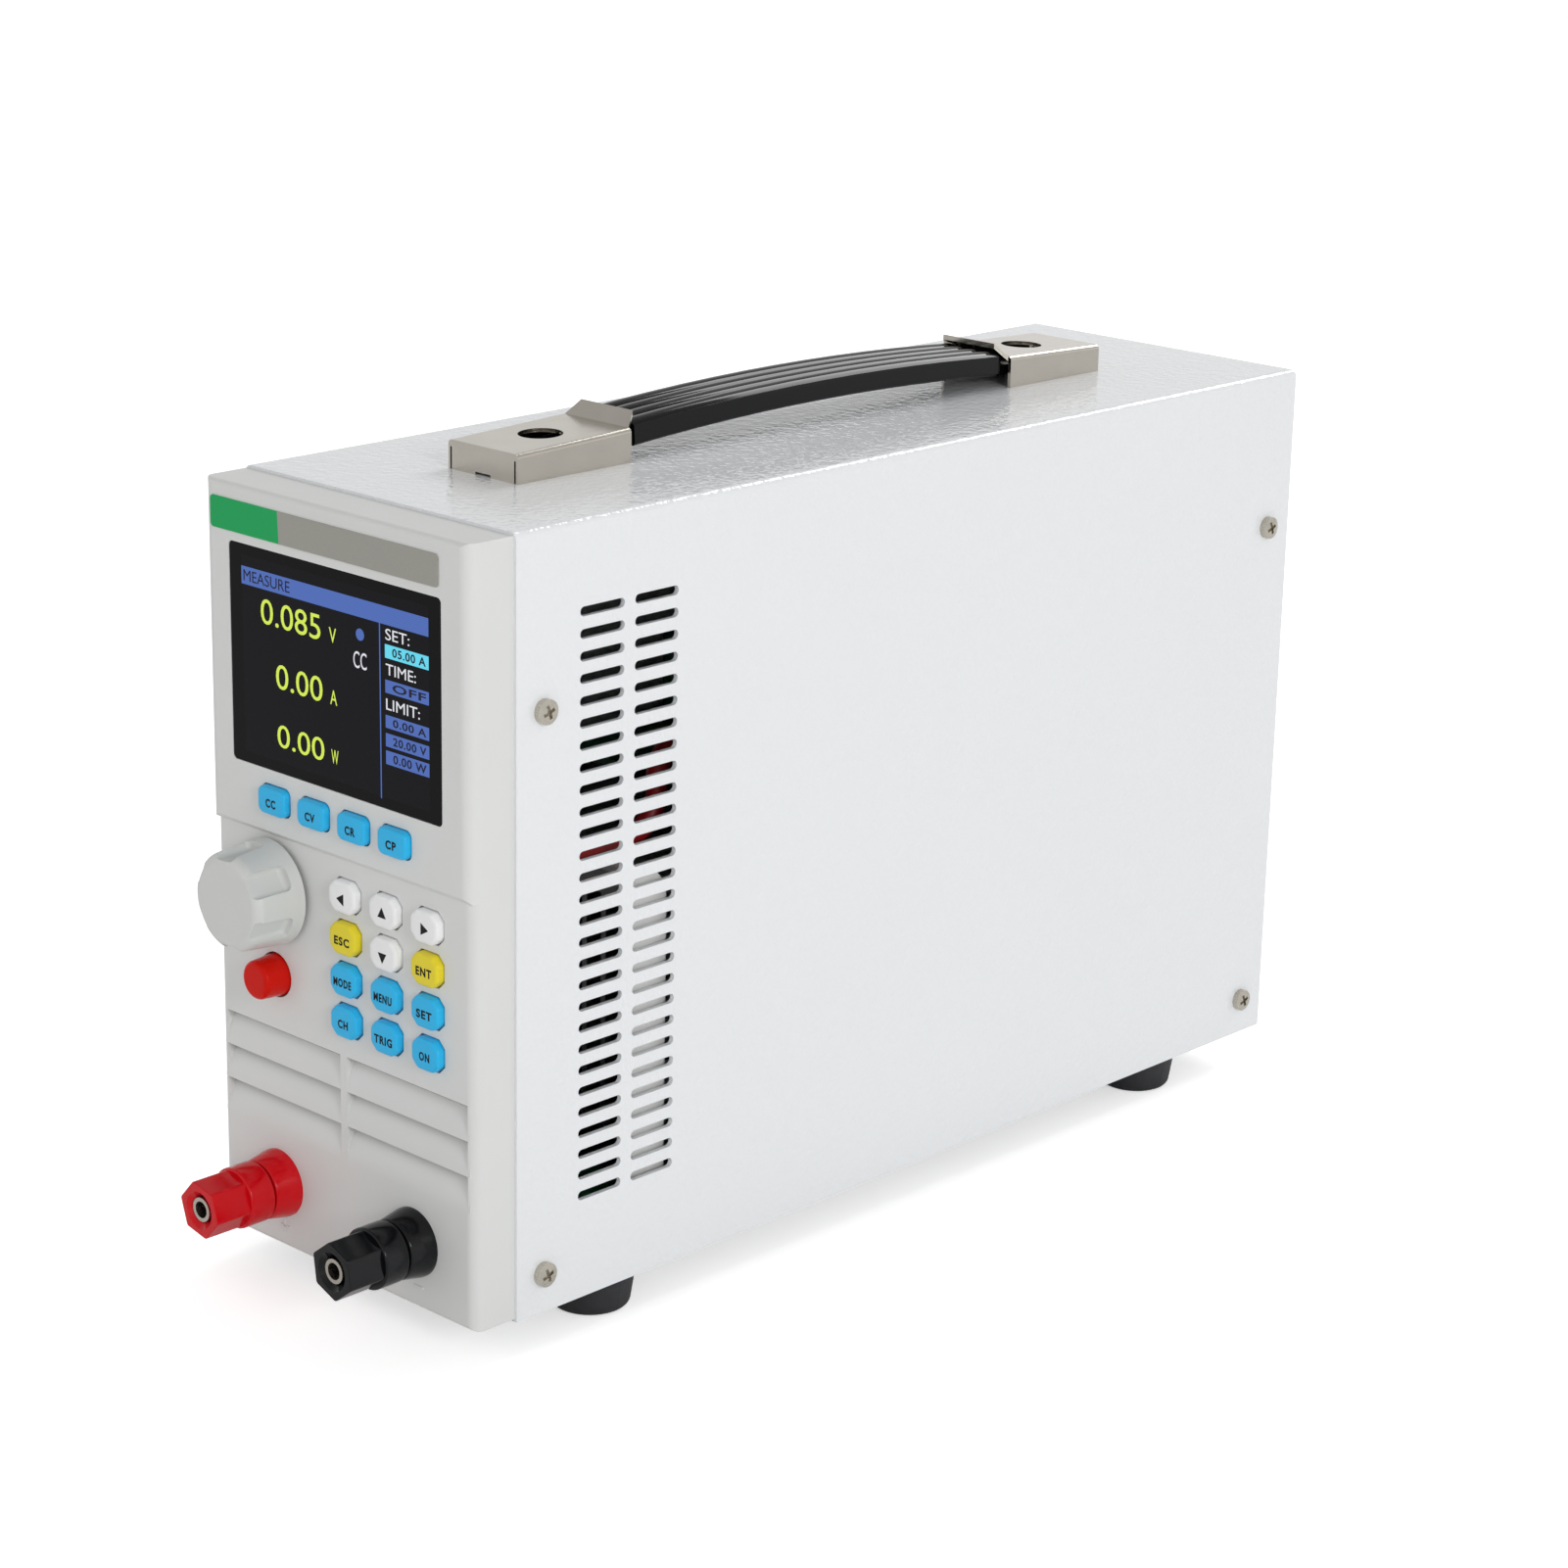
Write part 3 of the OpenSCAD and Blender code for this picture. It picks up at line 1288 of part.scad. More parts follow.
module post_studs() {
    color("lightgray") for (s = [-1, 1]) at_post(s) {
        difference() {
            bar_y(stud_tip_y, stud_back_y, stud_d / 2);
            bar_y(stud_tip_y - 1, stud_tip_y + socket_l, socket_d / 2);
        }
        nut_y(lower_in_y);
        nut_y(lower_in_y + nut_t + lug_t);
    }
}

module post_insert() {
    difference() {
        bar_y(insert_y, cap_back_y, insert_d / 2);
        bar_y(insert_y - 1, cap_back_y + 1, stud_d / 2 + thread_gap);
    }
}

// Screw cap: a round skirt behind a hexagonal grip with a coned mouth
module post_cap(turn) {
    bore_r = stud_d / 2 + 2 * thread_gap;
    difference() {
        union() {
            translate([0, cap_back_y, 0]) turned_y() plug_profile(skirt_r, skirt_r, skirt_l, skirt_edge_r);
            rotate([0, -turn, 0]) translate([0, cap_tip_y, 0]) rotate([-90, 0, 0])
                cylinder(h = hex_back_y - cap_tip_y + skirt_l / 2, r = hex_r, $fn = 6);
        }
        bar_y(insert_y, cap_back_y + 1, insert_d / 2 + thread_gap);
        bar_y(cap_tip_y - 1, cap_back_y, bore_r);
        turned_y() polygon([
            [0, cap_tip_y - eps], [bore_r + mouth_l, cap_tip_y - eps],
            [bore_r, cap_tip_y + mouth_l], [0, cap_tip_y + mouth_l]
        ]);
    }
}

// Fan

module fan_frame() {
    color("#1c1c1c") difference() {
        union() {
            along_y(fan_y, rear_in_y) translate([0, fan_z]) difference() {
                round_rect(fan_s, fan_s, fan_corner_r);
                circle(fan_bore_r);
            }
            translate([0, 0, fan_z]) bar_y(fan_y, fan_y + spider_t, hub_r);
            for (i = [0 : 3]) translate([0, fan_y + spider_t / 2, fan_z]) rotate([0, 45 + 90 * i, 0])
                translate([(hub_r + fan_bore_r) / 2, 0, 0])
                    cube([fan_bore_r - hub_r + 2, strut_t, strut_w], center = true);
        }
        at_fan_screws() bar_y(fan_y - 1, rear_in_y + 1, hole_r);
        translate([0, 0, fan_z]) bar_y(fan_y - 1, rotor_y, rotor_shaft_d / 2 + rotor_gap);
    }
}

// Cambered section of a fan blade, drawn in y and the direction of turning
module blade_section() {
    wedge = 2 * camber_r;
    rotate(blade_pitch) translate([-camber_r, 0]) intersection() {
        difference() {
            circle(camber_r + fan_blade_t / 2);
            circle(camber_r - fan_blade_t / 2);
        }
        polygon([
            [0, 0], [wedge * cos(camber_half), wedge * sin(camber_half)],
            [wedge * cos(camber_half), -wedge * sin(camber_half)]
        ]);
    }
}

module fan_rotor() {
    color("#1c1c1c") translate([0, rotor_y, fan_z]) {
        rotate([180, 0, 0]) turned_y() plug_profile(hub_r, hub_r, rotor_l, hub_edge_r);
        bar_y(-spider_t, eps, rotor_shaft_d / 2);
        intersection() {
            for (i = [0 : fan_blades - 1]) rotate([0, i * 360 / fan_blades, 0])
                translate([0, rotor_l / 2, 0]) along_x(hub_r - 1, fan_bore_r) blade_section();
            bar_y(blade_in, rotor_l - blade_in, fan_bore_r - tip_gap);
        }
    }
}

// Wire ring about the fan's axis
module wire_ring(y, r) {
    translate([0, y, 0]) rotate([-90, 0, 0]) rotate_extrude() translate([r, 0]) circle(wire_d / 2);
}

module fan_guard() {
    spoke_end = fan_hole_pitch / sqrt(2) - eyelet_r;
    color("silver") {
        translate([0, 0, fan_z]) {
            for (i = [1 : guard_rings]) wire_ring(ring_y, i * guard_ring_pitch);
            for (i = [0 : 3]) rotate([0, 45 + 90 * i, 0])
                translate([guard_ring_pitch - wire_d, guard_y, 0]) rotate([0, 90, 0])
                    cylinder(h = spoke_end - guard_ring_pitch + wire_d, d = wire_d);
        }
        at_fan_screws() wire_ring(guard_y, eyelet_r);
    }
}

// Rear connectors

// Outline of the plug cavity, with its two upper corners cut
module plug_outline(w, h) {
    c = 2 * inlet_wall;
    polygon([
        [-w / 2, -h / 2], [w / 2, -h / 2], [w / 2, h / 2 - c],
        [w / 2 - c, h / 2], [-w / 2 + c, h / 2], [-w / 2, h / 2 - c]
    ]);
}

module inlet_socket() {
    pin_w = 2;
    pin_h = 4;
    pin_pitch = 7;
    cavity_y = inlet_face_y - inlet_cavity_d;
    color("#1c1c1c") {
        difference() {
            union() {
                along_y(rear_y, inlet_face_y) translate([inlet_x, inlet_z])
                    round_rect(inlet_flange_w, inlet_flange_h, 1.5 * inlet_wall);
                along_y(rear_y - inlet_body_d, rear_y + eps) translate([inlet_x, inlet_z])
                    square([inlet_body_w, inlet_body_h], center = true);
            }
            translate([inlet_x, 0, inlet_cavity_z]) along_y(cavity_y, inlet_face_y + 1)
                plug_outline(inlet_cavity_w, inlet_cavity_h);
            translate([inlet_x, 0, drawer_z])
                along_y(inlet_face_y - drawer_l - drawer_end_gap, inlet_face_y + 1)
                    square([drawer_w + 2 * drawer_gap, drawer_h + 2 * drawer_gap], center = true);
            at_inlet_screws() bar_y(rear_y - 1, inlet_face_y + 1, hole_r);
        }
        for (p = [[-pin_pitch, -pin_w], [pin_pitch, -pin_w], [0, pin_w]])
            translate([inlet_x + p[0] - pin_w / 2, cavity_y, inlet_cavity_z + p[1] - pin_h / 2])
                cube([pin_w, inlet_cavity_d - pin_h, pin_h]);
    }
}

module fuse_drawer() {
    fuse_l = 16;
    color("#333") translate([inlet_x, 0, drawer_z]) difference() {
        along_y(inlet_face_y - drawer_l, inlet_face_y) square([drawer_w, drawer_h], center = true);
        translate([0, inlet_face_y - drawer_l / 2, drawer_h / 2]) rotate([0, 90, 0])
            cylinder(h = fuse_l, d = drawer_h, center = true);
        along_y(inlet_face_y - 1, inlet_face_y + 1) translate([0, -drawer_h / 2]) circle(drawer_h / 4);
    }
}

module selector_body() {
    color("#1c1c1c") translate([selector_x, 0, inlet_z]) difference() {
        union() {
            along_y(rear_y, rear_y + selector_t) round_rect(selector_w, selector_h, selector_t);
            along_y(rear_y - selector_body_d, rear_y + eps)
                square([selector_body_w, selector_body_h], center = true);
        }
        along_y(rear_y - selector_pocket_d, rear_y + selector_t + 1)
            square([selector_pocket_w, selector_pocket_h], center = true);
        for (sz = [-1, 1]) translate([0, 0, sz * selector_screw_z])
            bar_y(rear_y - 1, rear_y + selector_t + 1, hole_r);
    }
}

module selector_slider() {
    slider_h = selector_pocket_h - selector_travel - 2 * selector_gap;
    slider_y = rear_y + selector_t - 2 * selector_gap;
    color("firebrick")
        translate([selector_x, 0, inlet_z - (selector_pocket_h - slider_h) / 2 + selector_gap]) difference() {
            along_y(rear_y - selector_pocket_d + selector_gap, slider_y)
                square([selector_pocket_w - 2 * selector_gap, slider_h], center = true);
            along_x(-selector_w, selector_w) translate([slider_y, 0]) square(selector_wall, center = true);
        }
}

module serial_port() {
    shell_t = 0.8;
    body_l = 8;
    pin_r = 0.5;
    pin_pitch = 2.7;
    pin_row = 1.4;
    pin_tip_y = rear_y + serial_reach - shell_t;
    color("silver") translate([inlet_x, 0, serial_z]) {
        difference() {
            union() {
                along_y(rear_in_y - shell_t, rear_in_y)
                    square([serial_flange_w, serial_h + 4 * shell_t], center = true);
                along_y(rear_in_y - body_l, rear_in_y - shell_t + eps)
                    serial_outline(serial_w + 2 * shell_t, serial_h + 2 * shell_t);
                along_y(rear_in_y - eps, rear_y + serial_reach) serial_outline(serial_w, serial_h);
            }
            along_y(rear_in_y, rear_y + serial_reach + 1)
                serial_outline(serial_w - 2 * shell_t, serial_h - 2 * shell_t);
        }
        for (i = [0 : 4]) translate([(i - 2) * pin_pitch, 0, pin_row])
            bar_y(rear_in_y - eps, pin_tip_y, pin_r);
        for (i = [0 : 3]) translate([(i - 1.5) * pin_pitch, 0, -pin_row])
            bar_y(rear_in_y - eps, pin_tip_y, pin_r);
    }
}

module panel_screws() {
    guard_top_y = guard_y + wire_d / 2;
    color("gainsboro") {
        at_bosses() translate([0, frame_y, 0]) rotate([-90, 0, 0])
            pan_screw(screw_d, screw_head_d, screw_head_h, sheet_t + boss_hole_l - 1);
        at_inlet_screws() translate([0, inlet_face_y, 0]) rotate([-90, 0, 0])
            pan_screw(screw_d, screw_head_d, screw_head_h, screw_l);
        at_selector_screws() translate([0, rear_y + selector_t, 0]) rotate([-90, 0, 0])
            pan_screw(screw_d, screw_head_d, screw_head_h, screw_l);
        at_fan_screws() translate([0, guard_top_y, 0]) rotate([-90, 0, 0])
            pan_screw(screw_d, screw_head_d, screw_head_h, guard_top_y - rear_in_y + screw_l);
    }
}

// Inside

// Shroud that leads the air from the louvres and the vents into the heatsink, open below
module air_duct() {
    color("white") translate([0, 0, sheet_t]) difference() {
        along_y(duct_y, duct_y + duct_l) difference() {
            cover_outline(fan_s + 2 * duct_t, duct_h, 2 * duct_t);
            translate([0, -1]) cover_outline(fan_s, duct_h - duct_t + 1, duct_t);
        }
        along_x(-case_w, case_w) translate([duct_y + duct_l, duct_h]) rotate(180) corner_waste(duct_r);
    }
}

module at_pillars() {
    for (sx = [-1, 1], y = [board_screw_in, main_board_l - board_screw_in])
        translate([sx * (main_board_w / 2 - board_screw_in), main_board_y + y, 0]) children();
}

// Finned base whose two outer fins reach down to the tray as legs
module heatsink() {
    pitch = (sink_w - fin_t) / (fin_count - 1);
    color("darkgray") {
        along_y(sink_y, sink_y + sink_l) {
            translate([-sink_w / 2, sink_z]) square([sink_w, sink_base_t]);
            for (i = [1 : fin_count - 2])
                translate([i * pitch - sink_w / 2, sink_z - fin_h]) square([fin_t, fin_h + eps]);
            for (x = [-sink_w / 2, sink_w / 2 - fin_t])
                translate([x, sheet_t]) square([fin_t, sink_h + eps]);
        }
        at_pillars() translate([0, 0, sink_top - eps]) cylinder(h = main_board_h + eps, d = pillar_d);
    }
}

module mosfets() {
    tab_hole_d = 3.6;
    color("#1c1c1c") for (sx = [-1, 1], i = [0 : 2])
        translate([sx * main_board_w / 6, main_board_y + (i + 1) * main_board_l / 4, sink_top]) difference() {
            translate([0, 0, mosfet_t / 2]) cube([mosfet_w, mosfet_l, mosfet_t], center = true);
            translate([0, mosfet_l / 2 - tab_hole_d, -1]) cylinder(h = mosfet_t + 2, d = tab_hole_d);
        }
}

module main_board() {
    top = main_board_z + board_t;
    color("darkgreen") {
        difference() {
            translate([-main_board_w / 2, main_board_y, main_board_z])
                cube([main_board_w, main_board_l, board_t]);
            at_pillars() translate([0, 0, main_board_z - 1]) cylinder(h = board_t + 2, r = hole_r);
        }
        translate([(control_x + red_lead_x - lead_block_w) / 2, main_board_y, top - eps])
            cube([lead_block_w, capacitor_d, lead_block_h]);
        for (i = [0 : 3])
            translate([(i - 1.5) * 1.2 * capacitor_d, main_board_y + 0.4 * main_board_l, top - eps])
                cylinder(h = capacitor_h, d = capacitor_d);
        for (s = [-1, 1])
            translate([s * main_board_w / 5, main_board_y + 0.7 * main_board_l, top + relay_s / 2 - eps])
                cube(relay_s, center = true);
    }
}

// Shell core with two windows, and the winding through them round the middle limb
module transformer() {
    limb_w = core_w / 3;
    window_w = core_w / 6;
    yoke_h = core_h / 5;
    winding_fit = 0.2;
    color("dimgray") translate([0, transformer_y + core_l / 2, sink_top + core_h / 2]) {
        difference() {
            cube([core_w, core_l, core_h], center = true);
            for (s = [-1, 1]) translate([s * (limb_w + window_w) / 2, 0, 0])
                cube([window_w, 2 * core_l, core_h - 2 * yoke_h], center = true);
        }
        difference() {
            cube([limb_w + 2 * window_w - 2 * winding_fit, core_l + 2 * window_w,
                core_h - 2 * yoke_h - 2 * winding_fit], center = true);
            cube([limb_w - 2 * winding_fit, core_l - 2 * winding_fit, core_h], center = true);
        }
    }
}

module input_board() {
    top = input_board_z + board_t;
    shunt_h = 8;
    shunt_t = 3;
    color("green") {
        difference() {
            translate([-input_board_w / 2, input_board_y, input_board_z])
                cube([input_board_w, input_board_d, board_t]);
            at_input_posts() translate([0, 0, input_board_z - 1]) cylinder(h = board_t + 2, r = hole_r);
        }
        translate([-relay_s / 2, input_board_y + (input_board_d - relay_s) / 2, top - eps]) cube(relay_s);
        for (i = [1, 2]) translate([relay_s, input_board_y + i * input_board_d / 3, top + shunt_h / 2 - eps])
            cube([shunt_h, shunt_t, shunt_h], center = true);
    }
}

// Turns the Z axis to a unit direction d that lies along X, Y or Z
module face_along(d) {
    side = d.z == 0 ? [0, 0, 1] : [1, 0, 0];
    other = cross(d, side);
    multmatrix([
        [side.x, other.x, d.x, 0], [side.y, other.y, d.y, 0], [side.z, other.z, d.z, 0], [0, 0, 0, 1]
    ]) children();
}

// Quarter bend at a corner of a lead's route, from direction u to direction v
module lead_elbow(corner, u, v) {
    w = cross(u, v);
    translate(corner + lead_bend * (v - u)) multmatrix([
        [-v.x, u.x, w.x, 0], [-v.y, u.y, w.y, 0], [-v.z, u.z, w.z, 0], [0, 0, 0, 1]
    ]) rotate_extrude(angle = 90) translate([lead_bend, 0]) circle(d = lead_d);
}

// Lead along a route of straight runs that meet at right angles
module lead(route) {
    last = len(route) - 1;
    runs = [for (i = [0 : last - 1]) (route[i + 1] - route[i]) / norm(route[i + 1] - route[i])];
    for (i = [0 : last - 1]) {
        from = i == 0 ? 0 : lead_bend;
        to = norm(route[i + 1] - route[i]) - (i == last - 1 ? 0 : lead_bend);
        translate(route[i] + from * runs[i]) face_along(runs[i]) cylinder(h = to - from, d = lead_d);
    }
    for (i = [1 : last - 1]) lead_elbow(route[i], runs[i - 1], runs[i]);
}

module load_lead_black() {
    color("#1c1c1c") lead([
        [control_x, stud_back_y, post_z], [control_x, lead_y, post_z], [control_x, lead_y, black_low_z],
        [control_x, black_lead_y, black_low_z], [control_x, black_lead_y, black_lead_z],
        [control_x, main_board_y, black_lead_z]
    ]);
}

module load_lead_red() {
    color("firebrick") lead([
        [-control_x, stud_back_y, post_z], [-control_x, lead_y, post_z], [-control_x, lead_y, red_low_z],
        [red_lead_x, lead_y, red_low_z], [red_lead_x, red_lead_y, red_low_z],
        [red_lead_x, red_lead_y, red_lead_z], [red_lead_x, main_board_y, red_lead_z]
    ]);
}

piece("top_cover") top_cover();
piece("chassis_tray") chassis_tray();
piece("front_frame") front_frame();
piece("rear_panel") rear_panel();
piece("front_bezel") front_bezel();
piece("window_lens") window_lens();
piece("lcd_module") lcd_module();
piece("front_board") front_board();
piece("key_switches") key_switches();
piece("encoder") encoder();
piece("encoder_shaft") encoder_shaft();
piece("power_switch") power_switch();
piece("post_base_red") color("crimson") at_post(-1) post_base();
piece("post_base_black") color("#1c1c1c") at_post(1) post_base();
piece("post_studs") post_studs();
piece("handle_strap") handle_strap();
piece("handle_ends") handle_ends();
piece("handle_screws") handle_screws();
piece("feet") feet();
piece("foot_screws") foot_screws();
piece("cover_screws") cover_screws();
piece("fan_frame") fan_frame();
piece("fan_guard") fan_guard();
piece("inlet_socket") inlet_socket();
piece("panel_screws") panel_screws();
piece("serial_port") serial_port();
piece("selector_body") selector_body();
piece("heatsink") heatsink();
piece("mosfets") mosfets();
piece("air_duct") air_duct();
piece("input_board") input_board();
piece("main_board") main_board();
piece("transformer") transformer();
piece("load_lead_red") load_lead_red();
piece("load_lead_black") load_lead_black();
for (i = [0 : len(mode_names) - 1])
    piece(str("key_", mode_names[i])) mode_key(i);
for (column = [0 : 2], row = [0 : 3])
    piece(str("key_", pad_names[row][column])) pad_key(column, row);
piece("knob") knob();
piece("power_button") power_button();
piece("post_insert_red") color("goldenrod") at_post(-1) post_insert();
piece("post_insert_black") color("goldenrod") at_post(1) post_insert();
piece("post_cap_red") color("crimson") at_post(-1) post_cap(red_cap_turn);
piece("post_cap_black") color("#1c1c1c") at_post(1) post_cap(black_cap_turn);
piece("fan_rotor") fan_rotor();
piece("fuse_drawer") fuse_drawer();
piece("selector_slider") selector_slider();
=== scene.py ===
import json
import math

import bpy
from mathutils import Matrix, Vector


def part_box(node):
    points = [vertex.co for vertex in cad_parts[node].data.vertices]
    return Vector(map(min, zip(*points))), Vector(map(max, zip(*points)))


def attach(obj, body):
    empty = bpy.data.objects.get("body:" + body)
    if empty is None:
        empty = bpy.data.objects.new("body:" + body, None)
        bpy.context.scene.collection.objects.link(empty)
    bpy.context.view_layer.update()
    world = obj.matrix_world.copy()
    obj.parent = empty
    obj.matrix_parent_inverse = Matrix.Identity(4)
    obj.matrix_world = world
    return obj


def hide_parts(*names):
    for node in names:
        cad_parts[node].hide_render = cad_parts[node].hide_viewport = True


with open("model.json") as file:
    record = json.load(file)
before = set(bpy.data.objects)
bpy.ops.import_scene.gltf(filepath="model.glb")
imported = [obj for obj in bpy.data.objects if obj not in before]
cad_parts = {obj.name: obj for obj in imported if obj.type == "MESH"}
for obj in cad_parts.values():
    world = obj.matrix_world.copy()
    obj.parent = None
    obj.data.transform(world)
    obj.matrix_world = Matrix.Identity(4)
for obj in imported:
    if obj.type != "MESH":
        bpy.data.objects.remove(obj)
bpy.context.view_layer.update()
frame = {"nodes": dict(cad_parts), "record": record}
mm = 0.001
nodes = frame["nodes"]
print("frame loaded:", len(nodes), "nodes")

white = (1, 1, 1, 1)
black = (0, 0, 0, 1)
evenly = (1, 1, 1)  # a pattern that isn't stretched


def tone(red, green, blue):  # screen colour 0 to 255 as the linear colour a shader wants
    def linear(part):
        part /= 255
        return part / 12.92 if part <= 0.04045 else ((part + 0.055) / 1.055) ** 2.4
    return linear(red), linear(green), linear(blue), 1.0


def darker(color, amount):
    return tuple(part * (1 - amount) for part in color[:3]) + (1,)


class Wire:  # one shader socket: sums on it add Math nodes
    def __init__(self, graph, socket):
        self.graph = graph
        self.socket = socket

    def maths(self, operation, first, second):
        return self.graph.node("ShaderNodeMath", {"operation": operation}, {0: first, 1: second})

    def __add__(self, other):
        return self.maths("ADD", self, other)

    def __sub__(self, other):
        return self.maths("SUBTRACT", self, other)

    def __rsub__(self, other):
        return self.maths("SUBTRACT", other, self)

    def __mul__(self, other):
        return self.maths("MULTIPLY", self, other)

    def __lt__(self, other):
        return self.maths("LESS_THAN", self, other)

    __radd__ = __add__
    __rmul__ = __mul__


class Graph:  # a node tree of a material or of the world
    def __init__(self, owner, shader):
        owner.use_nodes = True
        self.tree = owner.node_tree
        self.shader = self.tree.nodes[shader]

    def set(self, name, value):
        self.feed(self.shader.inputs[name], value)

    def feed(self, socket, value):
        if isinstance(value, Wire):
            self.tree.links.new(value.socket, socket)
        else:
            socket.default_value = value

    def node(self, kind, settings=None, inputs=None, out=0):
        made = self.tree.nodes.new(kind)
        for key, value in (settings or {}).items():
            setattr(made, key, value)
        for key, value in (inputs or {}).items():
            self.feed(made.inputs[key], value)
        return Wire(self, made.outputs[out])


class Finish(Graph):  # a material and the nodes that make its look; grains and depths are in mm
    def __init__(self, name, color, rough):
        self.material = bpy.data.materials.new(name)
        super().__init__(self.material, "Principled BSDF")
        self.color = color
        self.set("Base Color", color)
        self.set("Roughness", rough)
        self.place = self.node("ShaderNodeTexCoord", out="Object")

    def noise(self, grain, detail, stretch=evenly):
        spread = self.node("ShaderNodeMapping", None, {"Vector": self.place, "Scale": stretch})
        return self.node("ShaderNodeTexNoise", None,
                         {"Vector": spread, "Scale": 1 / (grain * mm), "Detail": detail})

    def cells(self, grain):
        return self.node("ShaderNodeTexVoronoi", None,
                         {"Vector": self.place, "Scale": 1 / (grain * mm)}, "Color")

    def offCentre(self, axis, centre):  # distance from a plane across the axis
        along = self.node("ShaderNodeSeparateXYZ", None, {0: self.place}, axis)
        return self.node("ShaderNodeMath", {"operation": "ABSOLUTE"}, {0: along - centre})

    def mix(self, factor, first, second):
        factorIn, firstIn, secondIn, colorOut = 0, 6, 7, 2  # sockets of a Mix node that is set to colours
        return self.node("ShaderNodeMix", {"data_type": "RGBA"},
                         {factorIn: factor, firstIn: first, secondIn: second}, colorOut)

    def shade(self, factor, amount):  # darkens the colour by up to amount where factor is 1
        self.set("Base Color", self.mix(factor, self.color, darker(self.color, amount)))

    def bump(self, height, depth):
        self.set("Normal", self.node("ShaderNodeBump", None, {"Height": height, "Distance": depth * mm}))


# cloud darkens, haze roughens and relief raises a finish; each is a speck's size in mm and its detail
enamel = {  # stoved paint with orange peel
    "cloud": (60, 2), "fade": 0.015, "haze": (40, 2), "spread": 0.05, "relief": (1.8, 1), "depth": 0.2}
moulded = {  # spark-eroded plastic
    "cloud": (14, 2), "fade": 0.035, "haze": (5, 2), "spread": 0.12, "relief": (0.35, 2), "depth": 0.012}
silicone = {  # soft key rubber
    "cloud": (2.5, 3), "fade": 0.06, "haze": (1.2, 2), "spread": 0.15, "relief": (0.25, 2), "depth": 0.006,
    "sheen": 0.08}
glossy = {  # polished moulding, such as a binding post
    "cloud": (4, 2), "fade": 0.1, "haze": (1.5, 4), "spread": 0.1, "relief": (0.8, 2), "depth": 0.006,
    "gloss": 0.4}
metal = {
    "cloud": (8, 2), "fade": 0.12, "haze": (0.5, 3), "spread": 0.16, "relief": (0.5, 3), "depth": 0.004,
    "metallic": 1.0, "brushed": ("haze", "relief")}
rubbery = {
    "cloud": (3, 4), "fade": 0.4, "haze": (3, 4), "spread": 0.2, "relief": (0.5, 2), "depth": 0.02}
vinyl = {  # drawn plastic skin, shiny along its length
    "cloud": (3, 4), "fade": 0.3, "haze": (2, 3), "spread": 0.06, "relief": (0.8, 2), "depth": 0.006,
    "gloss": 0.25, "brushed": ("cloud", "haze", "relief")}
printed = {  # ink or foil on a carrier
    "cloud": (0.3, 3), "fade": 0.15, "haze": (0.8, 2), "spread": 0.15, "gloss": 0.25}
lookSockets = {"gloss": "Specular IOR Level", "metallic": "Metallic", "sheen": "Sheen Weight"}


def coat(name, color, rough, look, brush=evenly, **changes):  # rough is the middle of the haze
    look = {**look, **changes}
    made = Finish(name, color, rough)
    for key, socket in lookSockets.items():
        if key in look:
            made.set(socket, look[key])

    def specks(part):
        return made.noise(*look[part], brush if part in look.get("brushed", ()) else evenly)

    made.shade(specks("cloud"), look["fade"])
    made.set("Roughness", specks("haze") * look["spread"] + (rough - look["spread"] / 2))
    if "relief" in look:
        made.bump(specks("relief"), look["depth"])
    return made


zincLook = {
    "rough": 0.42, "patch": 7, "fade": 0.3, "spread": 0.15, "least": 0.33, "relief": (1, 2), "depth": 0.01}


def spangle(name, color):  # hot-dipped zinc with its crystal patches
    zinc = Finish(name, color, zincLook["rough"])
    zinc.set("Metallic", 1.0)
    patch = zinc.cells(zincLook["patch"])
    zinc.shade(patch, zincLook["fade"])
    zinc.set("Roughness", patch * zincLook["spread"] + zincLook["least"])
    zinc.bump(zinc.noise(*zincLook["relief"]), zincLook["depth"])
    return zinc


boardLook = {"rough": 0.35, "tracks": 160.0, "track": 0.06, "fade": 0.35, "depth": 0.03}


def circuit(name, color):  # solder mask over copper tracks
    board = Finish(name, color, boardLook["rough"])
    tracks = board.node("ShaderNodeTexBrick", None, {
        "Vector": board.place, "Scale": boardLook["tracks"], "Mortar Size": boardLook["track"],
        "Color1": black, "Color2": black, "Mortar": white})
    board.shade(1 - tracks, boardLook["fade"])
    board.bump(tracks, boardLook["depth"])
    return board


screen = {  # display layout in mm, measured from the window's edges
    "side": 4.1, "liveH": 45.5, "proud": 0.03, "corner": 0.1, "top": 5.05, "barH": 4.1,
    "ruleX": 15.5, "ruleW": 0.35, "ruleLow": 1.95,
    "dotX": 9.0, "dotZ": 12.2, "dotR": 1.35, "dotEdge": 0.1, "dotSides": 40}
glassLook = {
    "rough": 0.07, "gloss": 0.1, "live": tone(19, 19, 23), "haze": (12, 4), "spread": 0.06, "least": 0.04}


def middle(low, high):  # of a box, across and up
    return (low.x + high.x) / 2, (low.z + high.z) / 2


def lacquer(name, color):  # front glass over the display, a shade lighter over its live area
    glass = Finish(name, color, glassLook["rough"])
    glass.set("Specular IOR Level", glassLook["gloss"])
    low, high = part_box("window_lens")
    midX, midZ = middle(low, high)
    inWidth = glass.offCentre("X", midX) < (high.x - low.x) / 2 - screen["side"] * mm
    inHeight = glass.offCentre("Z", midZ) < screen["liveH"] * mm / 2
    glass.set("Base Color", glass.mix(inWidth * inHeight, color, glassLook["live"]))
    glass.set("Roughness", glass.noise(*glassLook["haze"]) * glassLook["spread"] + glassLook["least"])
    return glass


coreLook = {"rough": 0.5, "metallic": 0.7, "plates": 300.0, "waver": 0.4, "fade": 0.5, "depth": 0.05}


